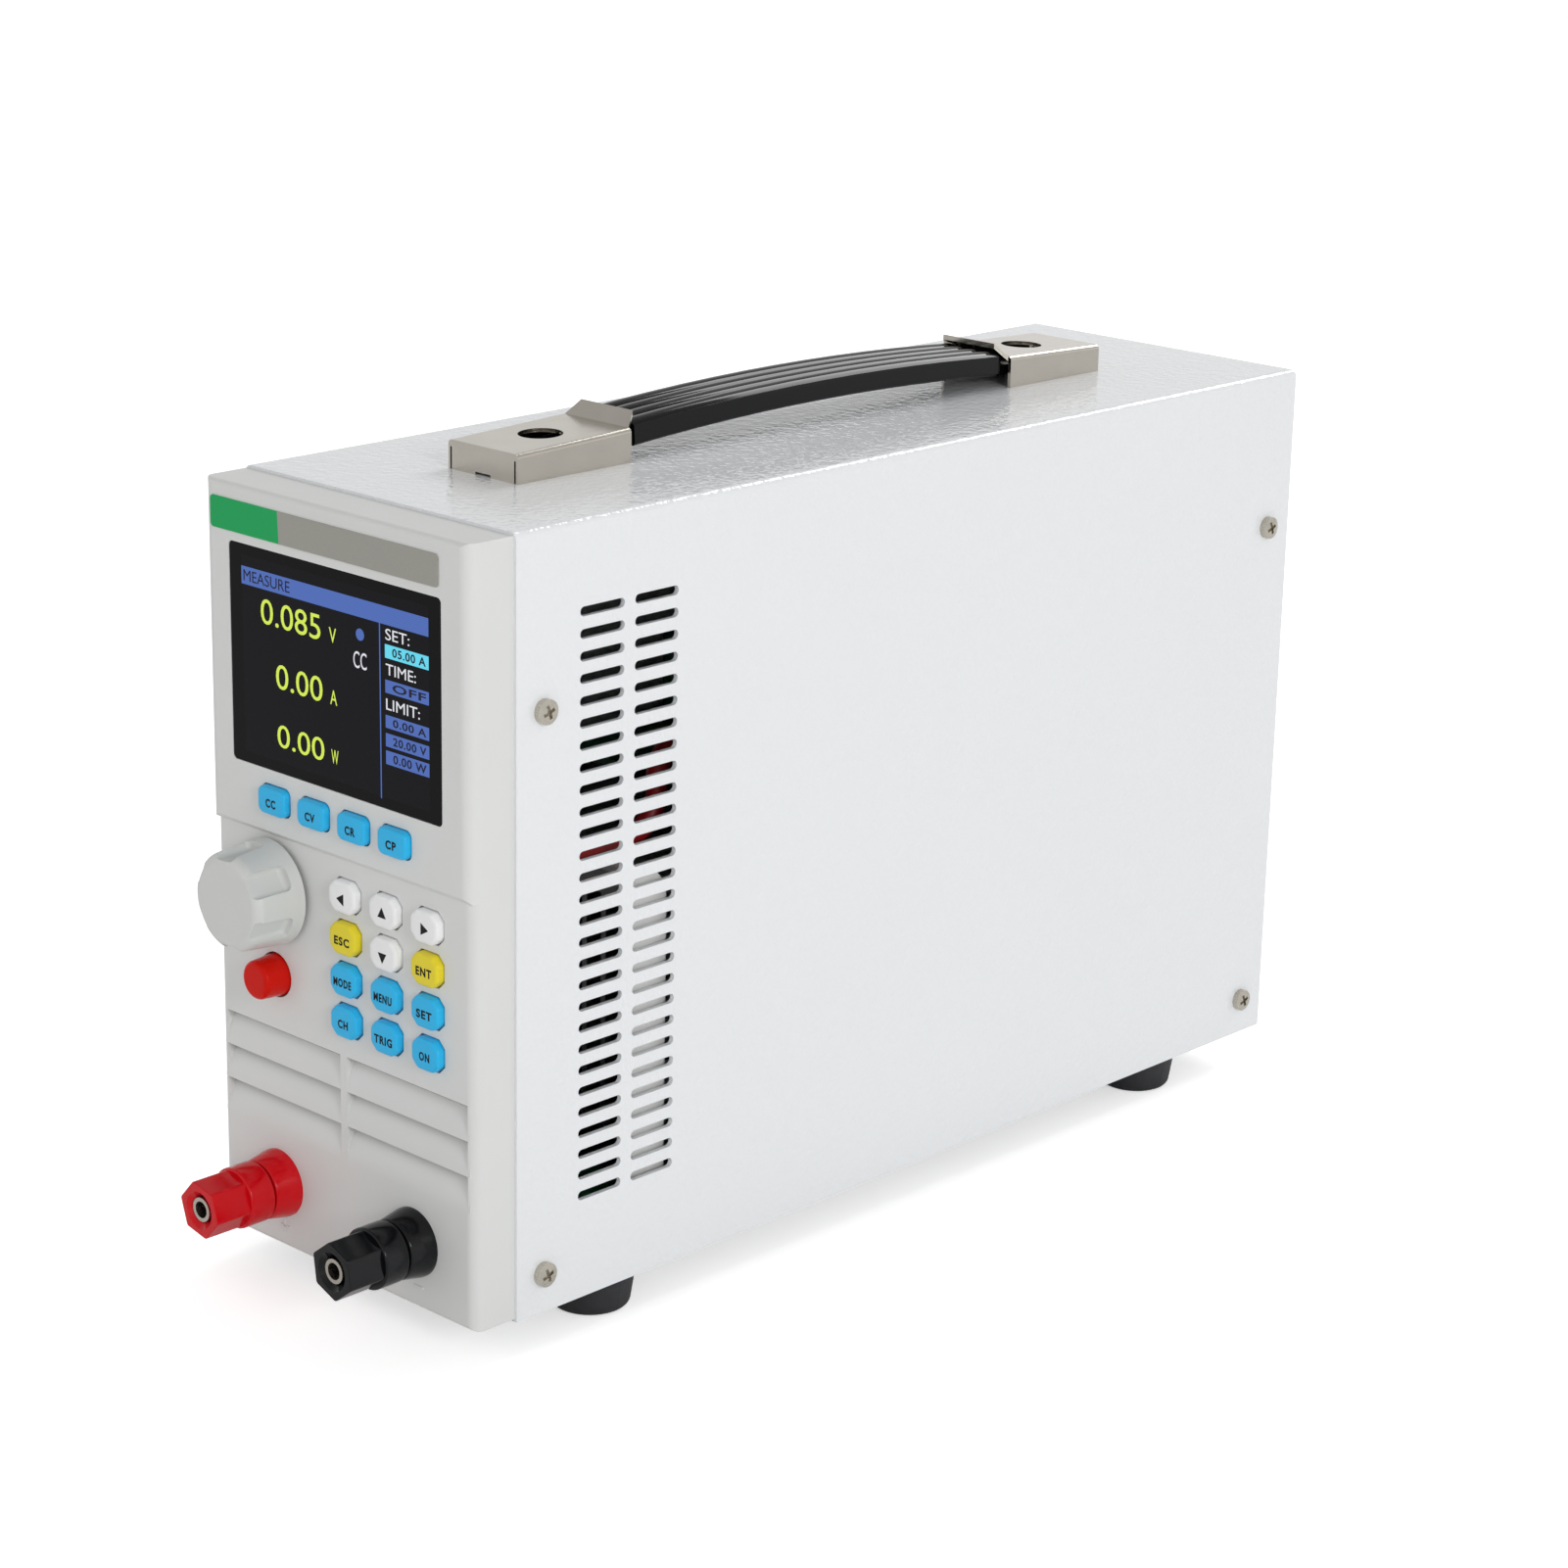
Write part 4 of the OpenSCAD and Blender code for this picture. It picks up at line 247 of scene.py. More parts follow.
def laminated(name, color):  # stacked core plates
    core = Finish(name, color, coreLook["rough"])
    core.set("Metallic", coreLook["metallic"])
    plates = core.node("ShaderNodeTexWave", {"bands_direction": "Y"},
                       {"Vector": core.place, "Scale": coreLook["plates"], "Distortion": coreLook["waver"]})
    core.shade(plates, coreLook["fade"])
    core.bump(plates, coreLook["depth"])
    return core


glowLook = {
    "unlit": (0.01, 0.01, 0.01, 1), "rough": 0.1, "gloss": 0.1, "power": 0.95, "rows": 700.0, "dim": 0.15}


def glowing(name, color):  # lit pixels, with the rows of the panel just showing
    light = Finish(name, glowLook["unlit"], glowLook["rough"])
    light.set("Specular IOR Level", glowLook["gloss"])
    light.set("Emission Strength", glowLook["power"])
    rows = light.node("ShaderNodeTexWave", {"bands_direction": "Z"},
                      {"Vector": light.place, "Scale": glowLook["rows"]})
    light.set("Emission Color", light.mix(rows, color, darker(color, glowLook["dim"])))
    return light


finishes = {  # one for each material slot of the record
    "case_paint": coat("casePaint", tone(232, 234, 236), 0.095, enamel),
    "zinc_steel": spangle("zincSteel", tone(188, 190, 192)),
    "bezel_plastic": coat("bezelPlastic", tone(222, 223, 221), 0.48, moulded),
    "window_black": lacquer("windowBlack", tone(13, 13, 15)),
    "display_grey": coat("displayGrey", tone(70, 72, 75), 0.5, moulded),
    "board_green": circuit("boardGreen", tone(20, 100, 60)),
    "part_black": coat("partBlack", tone(30, 31, 33), 0.5, moulded, relief=(0.5, 2), depth=0.02),
    "knob_grey": coat("knobGrey", tone(214, 215, 212), 0.38, moulded, relief=(0.25, 2), depth=0.006),
    "button_red": coat("buttonRed", tone(212, 20, 6), 0.12, glossy, gloss=0.12),
    "key_blue": coat("keyBlue", tone(20, 186, 242), 0.455, silicone),
    "key_yellow": coat("keyYellow", tone(236, 217, 26), 0.455, silicone),
    "key_white": coat("keyWhite", tone(246, 246, 246), 0.455, silicone),
    "post_red": coat("postRed", tone(214, 5, 20), 0.12, glossy, gloss=0.3),
    "post_black": coat("postBlack", tone(13, 14, 17), 0.12, glossy, gloss=0.3),
    "nickel": coat("nickel", tone(196, 190, 180), 0.28, metal),
    "insert_brass": coat("insertBrass", tone(214, 180, 96), 0.3, metal),
    "strap_black": coat("strapBlack", tone(9, 9, 11), 0.07, vinyl, (1, 0.1, 1)),
    "cap_nickel": coat("capNickel", tone(204, 198, 188), 0.2, metal, (1, 0.06, 1)),
    "screw_steel": coat("screwSteel", tone(200, 194, 182), 0.28, metal),
    "foot_rubber": coat("footRubber", tone(34, 35, 38), 0.5, rubbery),
    "guard_chrome": coat("guardChrome", tone(214, 214, 214), 0.18, metal),
    "sink_aluminium": coat("sinkAluminium", tone(206, 207, 208), 0.4, metal, (1, 0.05, 1)),
    "duct_white": coat("ductWhite", tone(232, 232, 230), 0.55, moulded),
    "core_steel": laminated("coreSteel", tone(120, 112, 104)),
    "lead_red": coat("leadRed", tone(168, 22, 26), 0.42, rubbery),
    "lead_black": coat("leadBlack", tone(26, 26, 28), 0.42, rubbery),
    "selector_red": coat("selectorRed", tone(205, 32, 30), 0.12, glossy),
}
extras = {  # for pieces that are in the scene alone
    "labelGreen": coat("labelGreen", tone(8, 172, 92), 0.395, printed),
    "labelGrey": coat("labelGrey", tone(166, 164, 156), 0.415, printed),
    "ink": coat("legendInk", tone(8, 9, 14), 0.545, printed),
    "glowLime": glowing("glowLime", tone(222, 246, 92)),
    "glowBlue": glowing("glowBlue", tone(82, 112, 190)),
    "glowCyan": glowing("glowCyan", tone(108, 226, 250)),
    "glowWhite": glowing("glowWhite", tone(238, 240, 246)),
    "glowDark": glowing("glowDark", tone(20, 24, 44)),
}
slotOf = {part["node"]: part["material_slot"] for part in frame["record"]["subparts"]}
for node, slot in slotOf.items():
    slots = nodes[node].data.materials
    for index in range(len(slots)):
        slots[index] = finishes[slot].material
print("finishes:", len(finishes) + len(extras))

square = 0.9  # share of a normal along the depth, past which a face looks straight forwards or backwards
onPlane = 0.01 * mm  # how near a point lies to a plane that it is on
weldGap = 0.002 * mm
quarter = math.pi / 2


def facesFront(face):
    return face.normal.y < -square


def facesBack(face):
    return face.normal.y > square


def deselect():
    if bpy.context.object and bpy.context.object.mode != "OBJECT":
        bpy.ops.object.mode_set(mode="OBJECT")
    bpy.ops.object.select_all(action="DESELECT")


def take(obj):
    deselect()
    obj.select_set(True)
    bpy.context.view_layer.objects.active = obj


def pick(obj, kind, rule):  # edit mode with the faces or edges that obey the rule
    take(obj)
    bpy.ops.object.mode_set(mode="EDIT")
    bpy.ops.mesh.select_mode(type=kind)
    bpy.ops.mesh.select_all(action="DESELECT")
    bpy.ops.object.mode_set(mode="OBJECT")
    if kind == "FACE":
        for face in obj.data.polygons:
            face.select = rule(face)
    else:
        points = obj.data.vertices
        for edge in obj.data.edges:
            edge.select = rule(points[edge.vertices[0]].co, points[edge.vertices[1]].co)
    bpy.ops.object.mode_set(mode="EDIT")


def bevel(offset, steps):  # of the picked edges
    bpy.ops.mesh.bevel(offset=offset, segments=steps, affect="EDGES")


def pull(distance):  # extrudes the picked face along the depth
    bpy.ops.mesh.extrude_region_move(TRANSFORM_OT_translate={"value": (0, distance, 0)})


def taper(factor, centre):  # scales the picked face across and up
    bpy.ops.transform.resize(value=(factor, 1, factor), center_override=centre)


def settle(obj):  # place goes into the mesh
    take(obj)
    bpy.ops.object.transform_apply(location=True, rotation=True, scale=True)
    return obj


def join(name, pieces):
    take(pieces[0])
    for piece in pieces:
        piece.select_set(True)
    bpy.ops.object.join()
    made = bpy.context.object
    made.name = name
    made.data.name = name
    return made


def dress(piece, finish, body="case"):
    piece.data.materials.clear()
    piece.data.materials.append(finish.material)
    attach(piece, body)


def roundUprights(obj, thick, offset, steps):  # bevels the edges that run front to back
    pick(obj, "EDGE", lambda a, b: abs(a.y - b.y) > thick / 2)
    bevel(offset, steps)


def roundEnd(obj, y, offset, steps):  # bevels the rim of the end at y
    pick(obj, "EDGE", lambda a, b: abs(a.y - y) < onPlane and abs(b.y - y) < onPlane)
    bevel(offset, steps)
    deselect()


def plate(name, x0, x1, z0, z1, y, thick, corner=0.0, soften=0.0, steps=5):  # front at y, all in metres
    deselect()
    bpy.ops.mesh.primitive_cube_add(size=1, location=((x0 + x1) / 2, y + thick / 2, (z0 + z1) / 2))
    made = bpy.context.object
    made.name = name
    made.scale = (x1 - x0, thick, z1 - z0)
    settle(made)
    if corner:
        roundUprights(made, thick, corner, steps)
    if soften:
        pick(made, "FACE", facesFront)
        bpy.ops.mesh.inset(thickness=soften)
        bpy.ops.transform.translate(value=(0, -soften / 2, 0))
    deselect()
    return made


def rod(name, x, z, y0, y1, radius, sides=72):  # a bar along the depth
    deselect()
    bpy.ops.mesh.primitive_cylinder_add(vertices=sides, radius=radius, depth=y1 - y0,
                                        rotation=(quarter, 0, 0), location=(x, (y0 + y1) / 2, z))
    made = settle(bpy.context.object)
    made.name = name
    return made


def carve(obj, tool, operation):  # the tool is used up
    change = obj.modifiers.new(operation, "BOOLEAN")
    change.object = tool
    change.operation = operation
    change.solver = "EXACT"
    take(obj)
    bpy.ops.object.modifier_apply(modifier=change.name)
    bpy.data.objects.remove(tool)


def polish(obj, angle):  # merges what a cut leaves double, and smooths the edges but keeps large faces flat
    pick(obj, "FACE", lambda face: True)
    bpy.ops.mesh.remove_doubles(threshold=weldGap)
    take(obj)
    bpy.ops.object.shade_smooth_by_angle(angle=math.radians(angle))
    even = obj.modifiers.new("even", "WEIGHTED_NORMAL")
    even.keep_sharp = True
    bpy.ops.object.modifier_apply(modifier=even.name)


lettering = {"open": 5, "curve": 4}  # letter spacing for each unit of weight, and steps in a curve


def word(name, text, x0, x1, z0, z1, y, thick, weight=0.0):  # letters fitted to a box on a front face
    deselect()
    bpy.ops.object.text_add()
    letters = bpy.context.object
    letters.data.body = text
    letters.data.extrude = thick / 2
    letters.data.offset = weight
    letters.data.space_character = 1 + lettering["open"] * weight
    letters.data.resolution_u = lettering["curve"]
    bpy.ops.object.convert(target="MESH")
    letters = bpy.context.object
    letters.name = name
    corners = [point.co for point in letters.data.vertices]
    low = Vector((min(c.x for c in corners), min(c.y for c in corners), 0))
    high = Vector((max(c.x for c in corners), max(c.y for c in corners), 0))
    letters.data.transform(Matrix.Translation(-low))
    letters.scale = ((x1 - x0) / (high.x - low.x), (z1 - z0) / (high.y - low.y), 1)
    letters.rotation_euler = (quarter, 0, 0)
    letters.location = (x0, y - thick / 2, z0)
    return settle(letters)


labelStrip = {  # bare strip over the display, in mm from the bezel's left, right and top edges
    "left": 2.8, "right": 9.3, "top": 3.6, "height": 7.3, "green": 23.7, "lean": 0.4,
    "thick": 0.25, "corner": 1.0, "soften": 0.08}


def makeLabel():
    low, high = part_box("front_bezel")
    x0 = low.x + labelStrip["left"] * mm
    x1 = high.x - labelStrip["right"] * mm
    z1 = high.z - labelStrip["top"] * mm
    z0 = z1 - labelStrip["height"] * mm
    seam = x0 + labelStrip["green"] * mm
    lean = labelStrip["lean"] * mm
    thick = labelStrip["thick"] * mm
    for name, finish, inner in (("label_green", "labelGreen", True), ("label_grey", "labelGrey", False)):
        strip = plate(name, x0, x1, z0, z1, low.y - thick, thick, labelStrip["corner"] * mm,
                      labelStrip["soften"] * mm)
        take(strip)
        bpy.ops.object.mode_set(mode="EDIT")
        bpy.ops.mesh.select_all(action="SELECT")
        bpy.ops.mesh.bisect(plane_co=(seam, 0, (z0 + z1) / 2), plane_no=(z1 - z0, 0, lean),
                            use_fill=True, clear_outer=inner, clear_inner=not inner)
        deselect()
        dress(strip, extras[finish])
    print("label strip done")


title = ("MEASURE", -30.6, -14.6, 16.9, 19.5)  # words, left, right, low, high in mm from the window's middle
readings = (
    ("0.085", -24.8, -4.3, 8.2, 14.0), ("0.00", -19.9, -3.9, -5.8, -0.1), ("0.00", -19.8, -3.6, -19.3, -14.0))
units = (("V", -1.4, 1.0, 8.5, 11.9), ("A", -1.3, 1.0, -5.5, -2.2), ("W", -1.2, 1.2, -19.0, -15.8))
headings = (
    ("SET:", 17.4, 25.2, 12.8, 15.3), ("TIME:", 17.4, 27.2, 5.0, 7.5), ("LIMIT:", 17.4, 28.4, -2.8, -0.3),
    ("CC", 6.7, 11.1, 4.5, 8.3))
fields = (  # words, low, high, lit
    ("05.00 A", 8.75, 11.8, True), ("OFF", 0.95, 3.9, False), ("0.00 A", -6.9, -4.0, False),
    ("20.00 V", -11.1, -8.1, False), ("0.00 W", -15.1, -12.0, False))
fieldForm = {"left": 17.2, "textIn": 2.4, "textEnd": 0.9, "textGap": 0.55, "weight": 0.02}


def makeScreen():
    low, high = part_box("window_lens")
    midX, midZ = middle(low, high)
    thin = screen["proud"] * mm
    front = low.y - thin
    left = low.x + screen["side"] * mm
    right = high.x - screen["side"] * mm
    top = high.z - screen["top"] * mm
    barLow = top - screen["barH"] * mm

    def put(name, text, x0, x1, z0, z1, layer=0, weight=0.0):
        return word(name, text, midX + x0 * mm, midX + x1 * mm, midZ + z0 * mm, midZ + z1 * mm,
                    low.y - layer * thin, thin, weight)

    def tile(name, x0, x1, z0, z1):
        return plate(name, x0, x1, z0, z1, front, thin, screen["corner"] * mm)

    ruleX = midX + screen["ruleX"] * mm
    ruleHalf = screen["ruleW"] * mm / 2
    dot = rod("dot", midX + screen["dotX"] * mm, midZ + screen["dotZ"] * mm, front, low.y,
              screen["dotR"] * mm, screen["dotSides"])
    pick(dot, "FACE", facesFront)
    bpy.ops.mesh.inset(thickness=screen["dotEdge"] * mm)
    blue = [tile("bar", left, right, barLow, top),
            tile("rule", ruleX - ruleHalf, ruleX + ruleHalf, low.z + screen["ruleLow"] * mm, barLow), dot]
    cyan = []
    dark = [put("title", *title, layer=1)]
    for text, z0, z1, lit in fields:
        box = tile("field", midX + fieldForm["left"] * mm, right, midZ + z0 * mm, midZ + z1 * mm)
        (cyan if lit else blue).append(box)
        textLeft = fieldForm["left"] + fieldForm["textIn"]
        textRight = (right - midX) / mm - fieldForm["textEnd"]
        gap = fieldForm["textGap"]
        dark.append(put("value", text, textLeft, textRight, z0 + gap, z1 - gap, 1, fieldForm["weight"]))
    dress(join("screen_bars", blue), extras["glowBlue"])
    dress(join("screen_field", cyan), extras["glowCyan"])
    dress(join("screen_values", dark), extras["glowDark"])
    dress(join("screen_digits", [put("digits", *row) for row in readings + units]), extras["glowLime"])
    dress(join("screen_words", [put("words", *row) for row in headings]), extras["glowWhite"])
    print("screen done")


legends = {
    "key_cc": "CC", "key_cv": "CV", "key_cr": "CR", "key_cp": "CP",
    "key_escape": "ESC", "key_enter": "ENT", "key_mode": "MODE", "key_menu": "MENU", "key_set": "SET",
    "key_channel": "CH", "key_trigger": "TRIG", "key_on": "ON"}
arrows = {"key_left": 90, "key_up": 0, "key_right": -90, "key_down": 180}  # turn in degrees
keys = list(legends) + list(arrows)
modeKeys = ("key_cc", "key_cv", "key_cr", "key_cp")
keyForm = {  # mm; only the part inside the hidden rim is made
    "rim": 0.6, "modeCorner": 1.8, "modeSteps": 6, "padCut": 1.9, "padSteps": 1,
    "padRound": 0.6, "roundSteps": 4, "crown": 0.35, "crownIn": 0.7, "slack": 0.25,
    "edge": 0.3, "edgeSteps": 3, "smooth": 50}


def makeKeys():
    rim = keyForm["rim"] * mm
    crown = keyForm["crown"] * mm
    slack = crown * keyForm["slack"]
    for key in keys:
        low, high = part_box(key)
        front = low.y + crown
        thick = high.y - front
        kind = "mode" if key in modeKeys else "pad"
        corner = keyForm["modeCorner" if kind == "mode" else "padCut"] * mm
        cap = plate("cap_" + key, low.x + rim, high.x - rim, low.z + rim, high.z - rim, front, thick,
                    corner, 0, keyForm[kind + "Steps"])
        if kind == "pad":
            roundUprights(cap, thick, keyForm["padRound"] * mm, keyForm["roundSteps"])
        pick(cap, "FACE", facesFront)
        bpy.ops.mesh.inset(thickness=keyForm["crownIn"] * mm)
        bpy.ops.transform.translate(value=(0, -crown, 0))
        pick(cap, "EDGE", lambda a, b: max(a.y, b.y) < front + slack and abs(a.y - b.y) < slack)
        bevel(keyForm["edge"] * mm, keyForm["edgeSteps"])
        take(cap)
        bpy.ops.object.shade_smooth_by_angle(angle=math.radians(keyForm["smooth"]))
        slot = slotOf[key]
        dress(cap, finishes[slot], key)
        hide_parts(key)
    print("keys done")


legendForm = {  # mm; letter is the width of one letter, most that of a word
    "proud": 0.03, "height": 2.05, "letter": 1.7, "most": 6.0, "right": 0.1, "up": -0.4, "weight": 0.035,
    "arrow": 2.8, "arrowEdge": 0.1, "arrowSteps": 3}


def makeArrow(name, centre, turn, thick):  # a triangle with soft corners
    deselect()
    radius = legendForm["arrow"] / math.sqrt(3) * mm
    bpy.ops.mesh.primitive_cylinder_add(vertices=3, radius=radius, depth=thick)
    made = bpy.context.object
    made.name = name
    pick(made, "EDGE", lambda a, b: abs(a.z - b.z) > thick / 2)
    bevel(legendForm["arrowEdge"] * mm, legendForm["arrowSteps"])
    deselect()
    made.data.transform(Matrix.Rotation(math.radians(turn), 4, "Z"))
    made.data.transform(Matrix.Rotation(quarter, 4, "X"))
    made.data.transform(Matrix.Translation(centre))
    return made


def makeLegends():
    thick = legendForm["proud"] * mm
    tall = legendForm["height"] * mm / 2
    for key in keys:
        low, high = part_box(key)
        midX, midZ = middle(low, high)
        midX += legendForm["right"] * mm
        midZ += legendForm["up"] * mm
        name = "legend_" + key
        if key in arrows:
            mark = makeArrow(name, Vector((midX, low.y - thick / 2, midZ)), arrows[key], thick)
        else:
            half = min(legendForm["letter"] * len(legends[key]), legendForm["most"]) * mm / 2
            mark = word(name, legends[key], midX - half, midX + half, midZ - tall, midZ + tall, low.y, thick,
                        legendForm["weight"])
        dress(mark, extras["ink"], key)
    print("legends done")


poleMark = {  # plus and minus moulded under the posts, in mm; the lower face lies a step behind the upper
    "span": 3.4, "bar": 0.55, "down": 10.4, "right": 1.6, "proud": 0.2, "sunk": 0.3, "step": 1.25,
    "corner": 0.2, "soften": 0.08}


def makePoleMarks():
    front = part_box("front_bezel")[0].y + (poleMark["step"] - poleMark["proud"]) * mm
    depth = (poleMark["proud"] + poleMark["sunk"]) * mm
    half = poleMark["span"] * mm / 2
    thin = poleMark["bar"] * mm / 2
    for side, post in (("plus", "post_base_red"), ("minus", "post_base_black")):
        midX, midZ = middle(*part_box(post))
        midX += poleMark["right"] * mm
        midZ -= poleMark["down"] * mm
        spans = [(half, thin), (thin, half)] if side == "plus" else [(half, thin)]
        bars = [plate("bar", midX - wide, midX + wide, midZ - tall, midZ + tall, front, depth,
                      poleMark["corner"] * mm, poleMark["soften"] * mm) for wide, tall in spans]
        dress(join("mark_" + side, bars), finishes["bezel_plastic"], "case")
    print("pole marks done")


knobForm = {  # mm; the flutes are flat-bottomed scoops that run out through the front face
    "sides": 96, "tip": 0.912, "edge": 2.2, "edgeSteps": 6, "wall": 4.2, "cup": 8.0,
    "flutes": 6, "first": 33, "fluteW": 6.2, "fluteDeep": 1.5, "band": 3.0, "scoop": 1.2, "scoopSteps": 4,
    "soft": 0.5, "softSteps": 3, "softAngle": 28, "smooth": 40}


def makeKnob():
    low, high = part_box("knob")
    midX, midZ = middle(low, high)
    radius = (high.x - low.x) / 2
    grip = rod("knob_grip", 0, 0, low.y, high.y, radius, knobForm["sides"])
    pick(grip, "FACE", facesFront)
    taper(knobForm["tip"], (0, low.y, 0))
    bevel(knobForm["edge"] * mm, knobForm["edgeSteps"])
    pick(grip, "FACE", facesBack)
    bpy.ops.mesh.inset(thickness=knobForm["wall"] * mm)
    pull(-knobForm["cup"] * mm)
    floorR = radius * knobForm["tip"] - knobForm["fluteDeep"] * mm
    back = high.y - knobForm["band"] * mm
    half = knobForm["fluteW"] * mm / 2
    cutters = []
    for index in range(knobForm["flutes"]):
        cutter = plate("flute", -half, half, floorR, floorR + radius, low.y - radius, back - low.y + radius)
        pick(cutter, "EDGE", lambda a, b: (a.z + b.z) / 2 < floorR + half or a.y + b.y > 2 * back - half)
        bevel(knobForm["scoop"] * mm, knobForm["scoopSteps"])
        deselect()
        turn = math.radians(90 - knobForm["first"] - index * 360 / knobForm["flutes"])
        cutter.data.transform(Matrix.Rotation(turn, 4, "Y"))
        cutters.append(cutter)
    carve(grip, join("flutes", cutters), "DIFFERENCE")
    soften = grip.modifiers.new("soft", "BEVEL")
    soften.limit_method = "ANGLE"
    soften.angle_limit = math.radians(knobForm["softAngle"])
    soften.width = knobForm["soft"] * mm
    soften.segments = knobForm["softSteps"]
    take(grip)
    bpy.ops.object.modifier_apply(modifier=soften.name)
    grip.data.transform(Matrix.Translation((midX, 0, midZ)))
    polish(grip, knobForm["smooth"])
    dress(grip, finishes["knob_grey"], "knob")
    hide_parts("knob")
    print("knob done")


buttonForm = {  # mm; a drafted cap on a thin stem
    "tip": 0.89, "edge": 1.1, "edgeSteps": 6, "head": 8.3, "stem": 1.5, "smooth": 40}


def makeButton():
    low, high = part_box("power_button")
    x, z = middle(low, high)
    radius = (high.x - low.x) / 2
    headEnd = low.y + buttonForm["head"] * mm
    button = rod("button_cap", x, z, low.y, headEnd, radius)
    pick(button, "FACE", facesFront)
    taper(buttonForm["tip"], (x, low.y, z))
    roundEnd(button, low.y, buttonForm["edge"] * mm, buttonForm["edgeSteps"])
    pick(button, "FACE", facesBack)
    bpy.ops.mesh.inset(thickness=radius - buttonForm["stem"] * mm)
    pull(high.y - headEnd)
    polish(button, buttonForm["smooth"])
    dress(button, finishes["button_red"], "power_button")
    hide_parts("power_button")
    print("button done")


postForm = {  # mm; a round skirt behind a six-sided grip with a flared mouth
    "sides": 6, "hexR": 6.9, "hexEdge": 0.5, "hexSteps": 4, "tip": 0.25, "tipSteps": 3,
    "skirtL": 6.8, "skirtEdge": 0.6, "skirtSteps": 4, "back": 0.5, "backSteps": 3,
    "bore": 3.2, "mouth": 1.3, "past": 1.1, "insertGap": 0.05, "smooth": 35, "turn": {"red": 48, "black": 38}}


def makePostCap(side, x, z):
    node = "post_cap_" + side
    low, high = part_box(node)
    skirtY = high.y - postForm["skirtL"] * mm
    skirtMid = skirtY + postForm["skirtL"] * mm / 2
    mouth = postForm["mouth"] * mm
    cap = rod("grip_" + side, x, z, skirtY, high.y, (high.x - low.x) / 2)
    roundEnd(cap, skirtY, postForm["skirtEdge"] * mm, postForm["skirtSteps"])
    roundEnd(cap, high.y, postForm["back"] * mm, postForm["backSteps"])
    grip = rod("hex", 0, 0, low.y, skirtMid, postForm["hexR"] * mm, postForm["sides"])
    roundUprights(grip, skirtY - low.y, postForm["hexEdge"] * mm, postForm["hexSteps"])
    roundEnd(grip, low.y, postForm["tip"] * mm, postForm["tipSteps"])
    turn = quarter - math.radians(postForm["turn"][side])
    grip.data.transform(Matrix.Translation((x, 0, z)) @ Matrix.Rotation(turn, 4, "Y"))
    carve(cap, grip, "UNION")
    bore = rod("bore", x, z, low.y + mouth, high.y + mouth, postForm["bore"] * mm)
    pick(bore, "FACE", facesFront)
    pull(-postForm["past"] * mouth)  # a cone of 45 degrees that runs past the front
    taper(1 + postForm["past"] * postForm["mouth"] / postForm["bore"], (x, low.y, z))
    deselect()
    carve(cap, bore, "DIFFERENCE")
    insertLow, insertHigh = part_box("post_insert_" + side)
    pocketR = (insertHigh.x - insertLow.x) / 2 + postForm["insertGap"] * mm
    carve(cap, rod("pocket", x, z, insertLow.y, high.y + mouth, pocketR), "DIFFERENCE")
    polish(cap, postForm["smooth"])
    dress(cap, finishes[slotOf[node]], node)
    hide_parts(node)


insulatorForm = {  # mm; a coned collar on a short straight foot, up to the bezel
    "length": 6.7, "foot": 0.8, "neck": 0.866, "edge": 0.5, "edgeSteps": 3, "smooth": 40}


def makeInsulator(side, x, z):
    node = "post_base_" + side
    low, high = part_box(node)
    faceY = low.y + insulatorForm["length"] * mm
    footY = faceY - insulatorForm["foot"] * mm
    base = rod("insulator_" + side, x, z, footY, faceY, (high.x - low.x) / 2)
    pick(base, "FACE", facesFront)
    pull(low.y - footY)
    taper(insulatorForm["neck"], (x, low.y, z))
    for y in (low.y, footY):
        roundEnd(base, y, insulatorForm["edge"] * mm, insulatorForm["edgeSteps"])
    polish(base, insulatorForm["smooth"])
    dress(base, finishes[slotOf[node]], "case")
    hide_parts(node)


def makePosts():
    for side in ("red", "black"):
        axis = middle(*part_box("post_cap_" + side))
        makePostCap(side, *axis)
        makeInsulator(side, *axis)
    print("posts done")


stage = {"size": 12.0, "floor": tone(249, 249, 249), "rough": 0.9, "lift": 0.5}
lights = {  # levels of the room, then watts, size in metres and place of each lamp
    "horizon": 1.0, "zenith": 0.3, "backdrop": 1.0, "aim": (0, 0, 0.1),
    "lamps": (("keyLamp", 8, 0.4, (1.58, -0.6, 0.71)), ("backLamp", 14, 0.9, (-0.15, 1.6, 1.35)))}


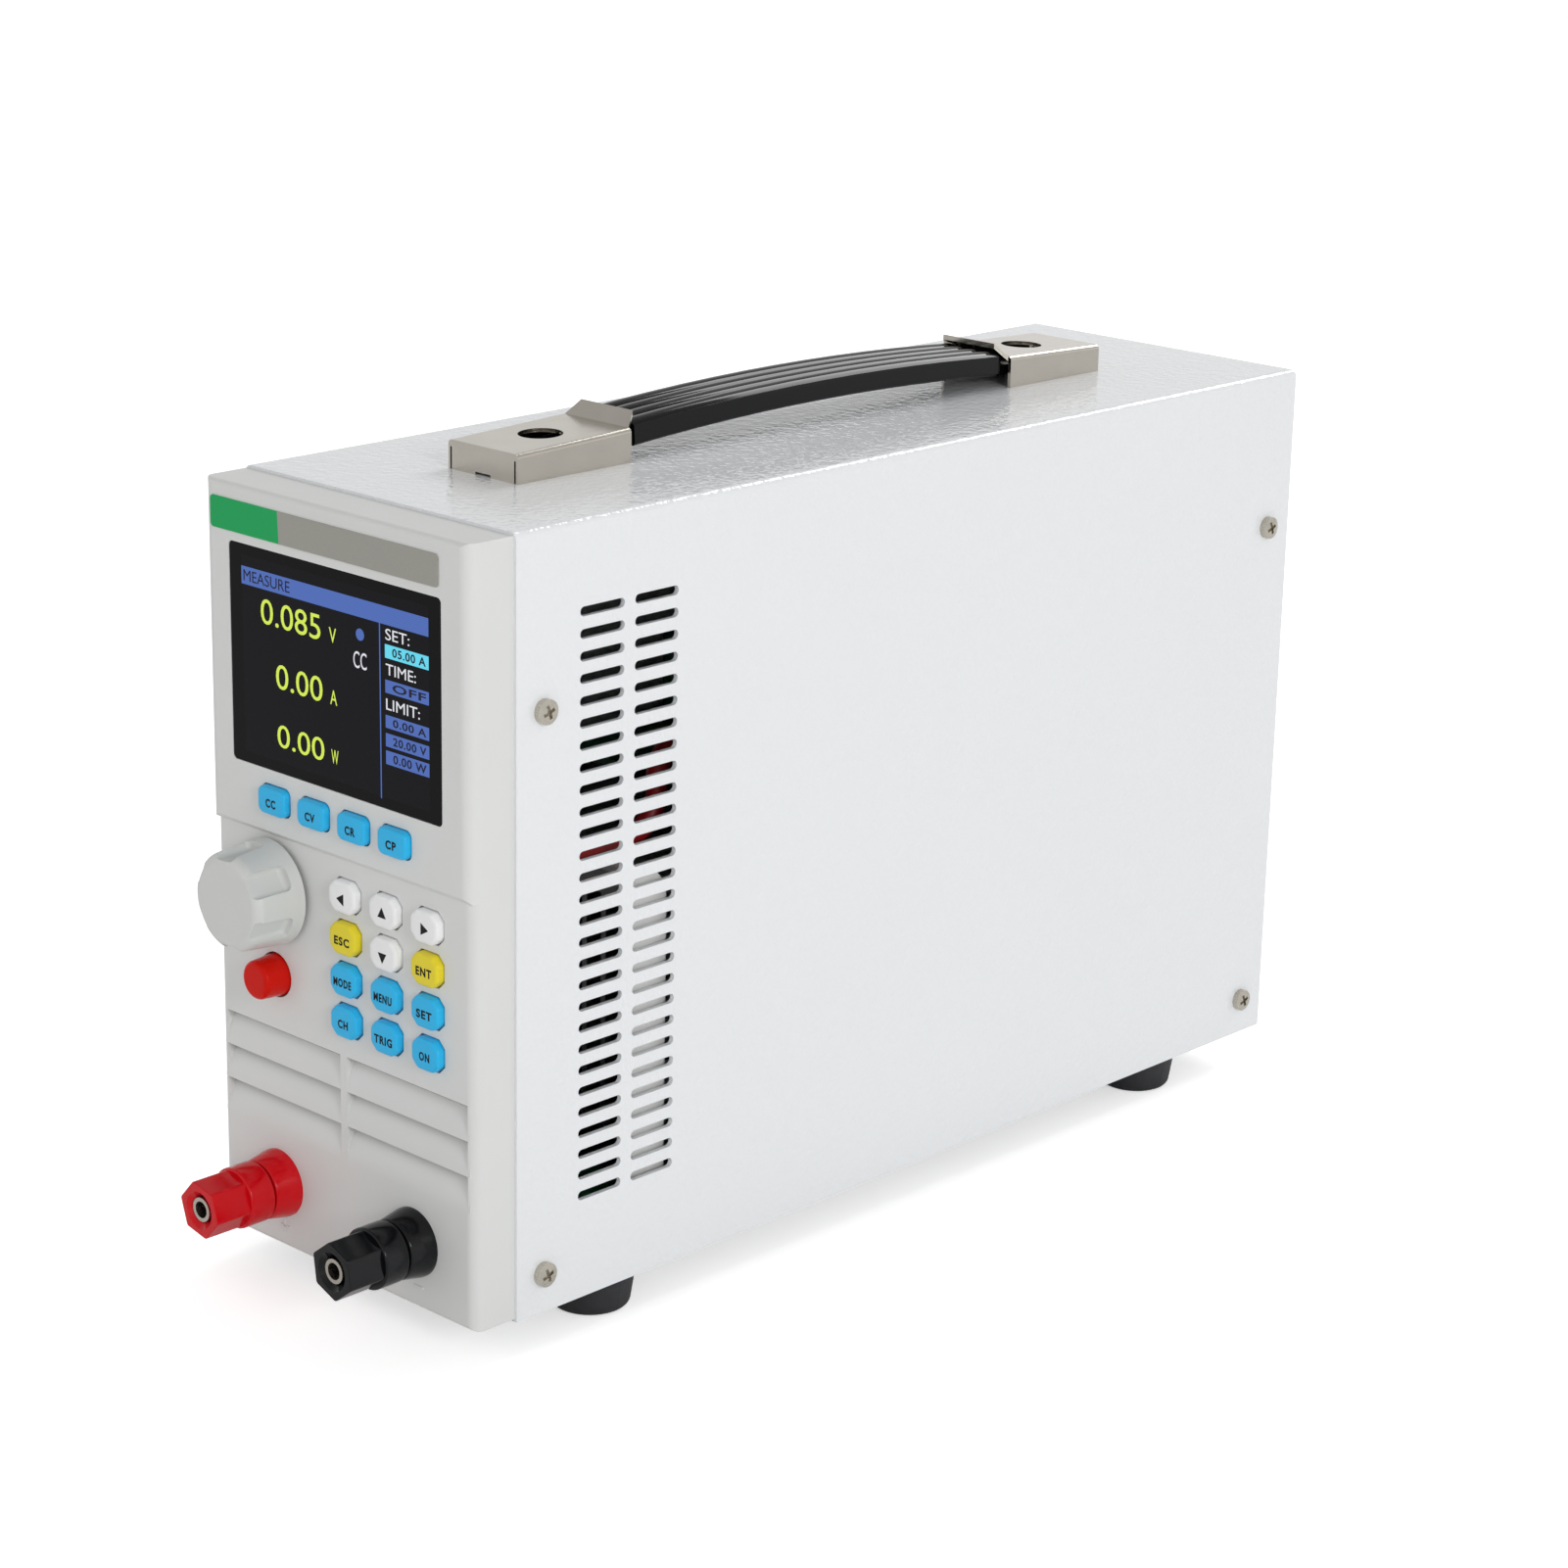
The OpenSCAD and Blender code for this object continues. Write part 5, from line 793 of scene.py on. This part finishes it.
def makeStage():
    deselect()
    bpy.ops.mesh.primitive_plane_add(size=stage["size"])
    floor = bpy.context.object
    floor.name = "floor"
    paper = Finish("paper", stage["floor"], stage["rough"])
    paper.set("Specular IOR Level", 0.0)
    paper.set("Emission Strength", stage["lift"])
    seen = paper.node("ShaderNodeLightPath", out="Is Camera Ray")
    paper.set("Emission Color", paper.mix(seen, black, white))  # white up to the horizon
    floor.data.materials.append(paper.material)
    bpy.context.scene.world = bpy.data.worlds.new("studio")
    room = Graph(bpy.context.scene.world, "Background")
    seen = room.node("ShaderNodeLightPath", out="Is Camera Ray")
    ray = room.node("ShaderNodeTexCoord", out="Generated")
    height = room.node("ShaderNodeSeparateXYZ", None, {0: ray}, "Z")
    steep = room.node("ShaderNodeMath", {"operation": "MAXIMUM"}, {0: height, 1: 0.0})
    level = steep * (lights["zenith"] - lights["horizon"]) + lights["horizon"]  # white walls, dim ceiling
    room.set("Color", white)
    room.set("Strength", seen * lights["backdrop"] + (1 - seen) * level)
    print("stage done")


def makeLights():
    for name, power, size, place in lights["lamps"]:
        deselect()
        bpy.ops.object.light_add(type="AREA", location=place)
        lamp = bpy.context.object
        lamp.name = name
        lamp.data.energy = power
        lamp.data.size = size
        aim = Vector(lights["aim"]) - Vector(place)
        lamp.rotation_euler = aim.to_track_quat("-Z", "Y").to_euler()
    print("lights done")


camera = {  # place in metres, turns in degrees, focal length in pixels of an image that is imageW wide
    "place": (0.62138, -0.64828, 0.37638), "heading": -43.276, "tilt": -17.12, "roll": 1.192,
    "focal": 3893.1, "imageW": 1601, "sensor": 36}


def makeCamera():
    deselect()
    bpy.ops.object.camera_add()
    view = bpy.context.object
    view.data.sensor_width = camera["sensor"]
    view.data.lens = camera["focal"] / camera["imageW"] * camera["sensor"]
    turn = Matrix.Rotation(-math.radians(camera["heading"]), 4, "Z")
    turn = turn @ Matrix.Rotation(quarter + math.radians(camera["tilt"]), 4, "X")
    turn = turn @ Matrix.Rotation(math.radians(camera["roll"]), 4, "Z")
    view.matrix_world = Matrix.Translation(camera["place"]) @ turn
    bpy.context.scene.camera = view
    bpy.context.scene.view_settings.view_transform = "Standard"
    print("camera done")


makeCamera()
makeStage()
makeLights()
makeLabel()
makeScreen()
makeKeys()
makeLegends()
makePoleMarks()
makeKnob()
makeButton()
makePosts()

deselect()
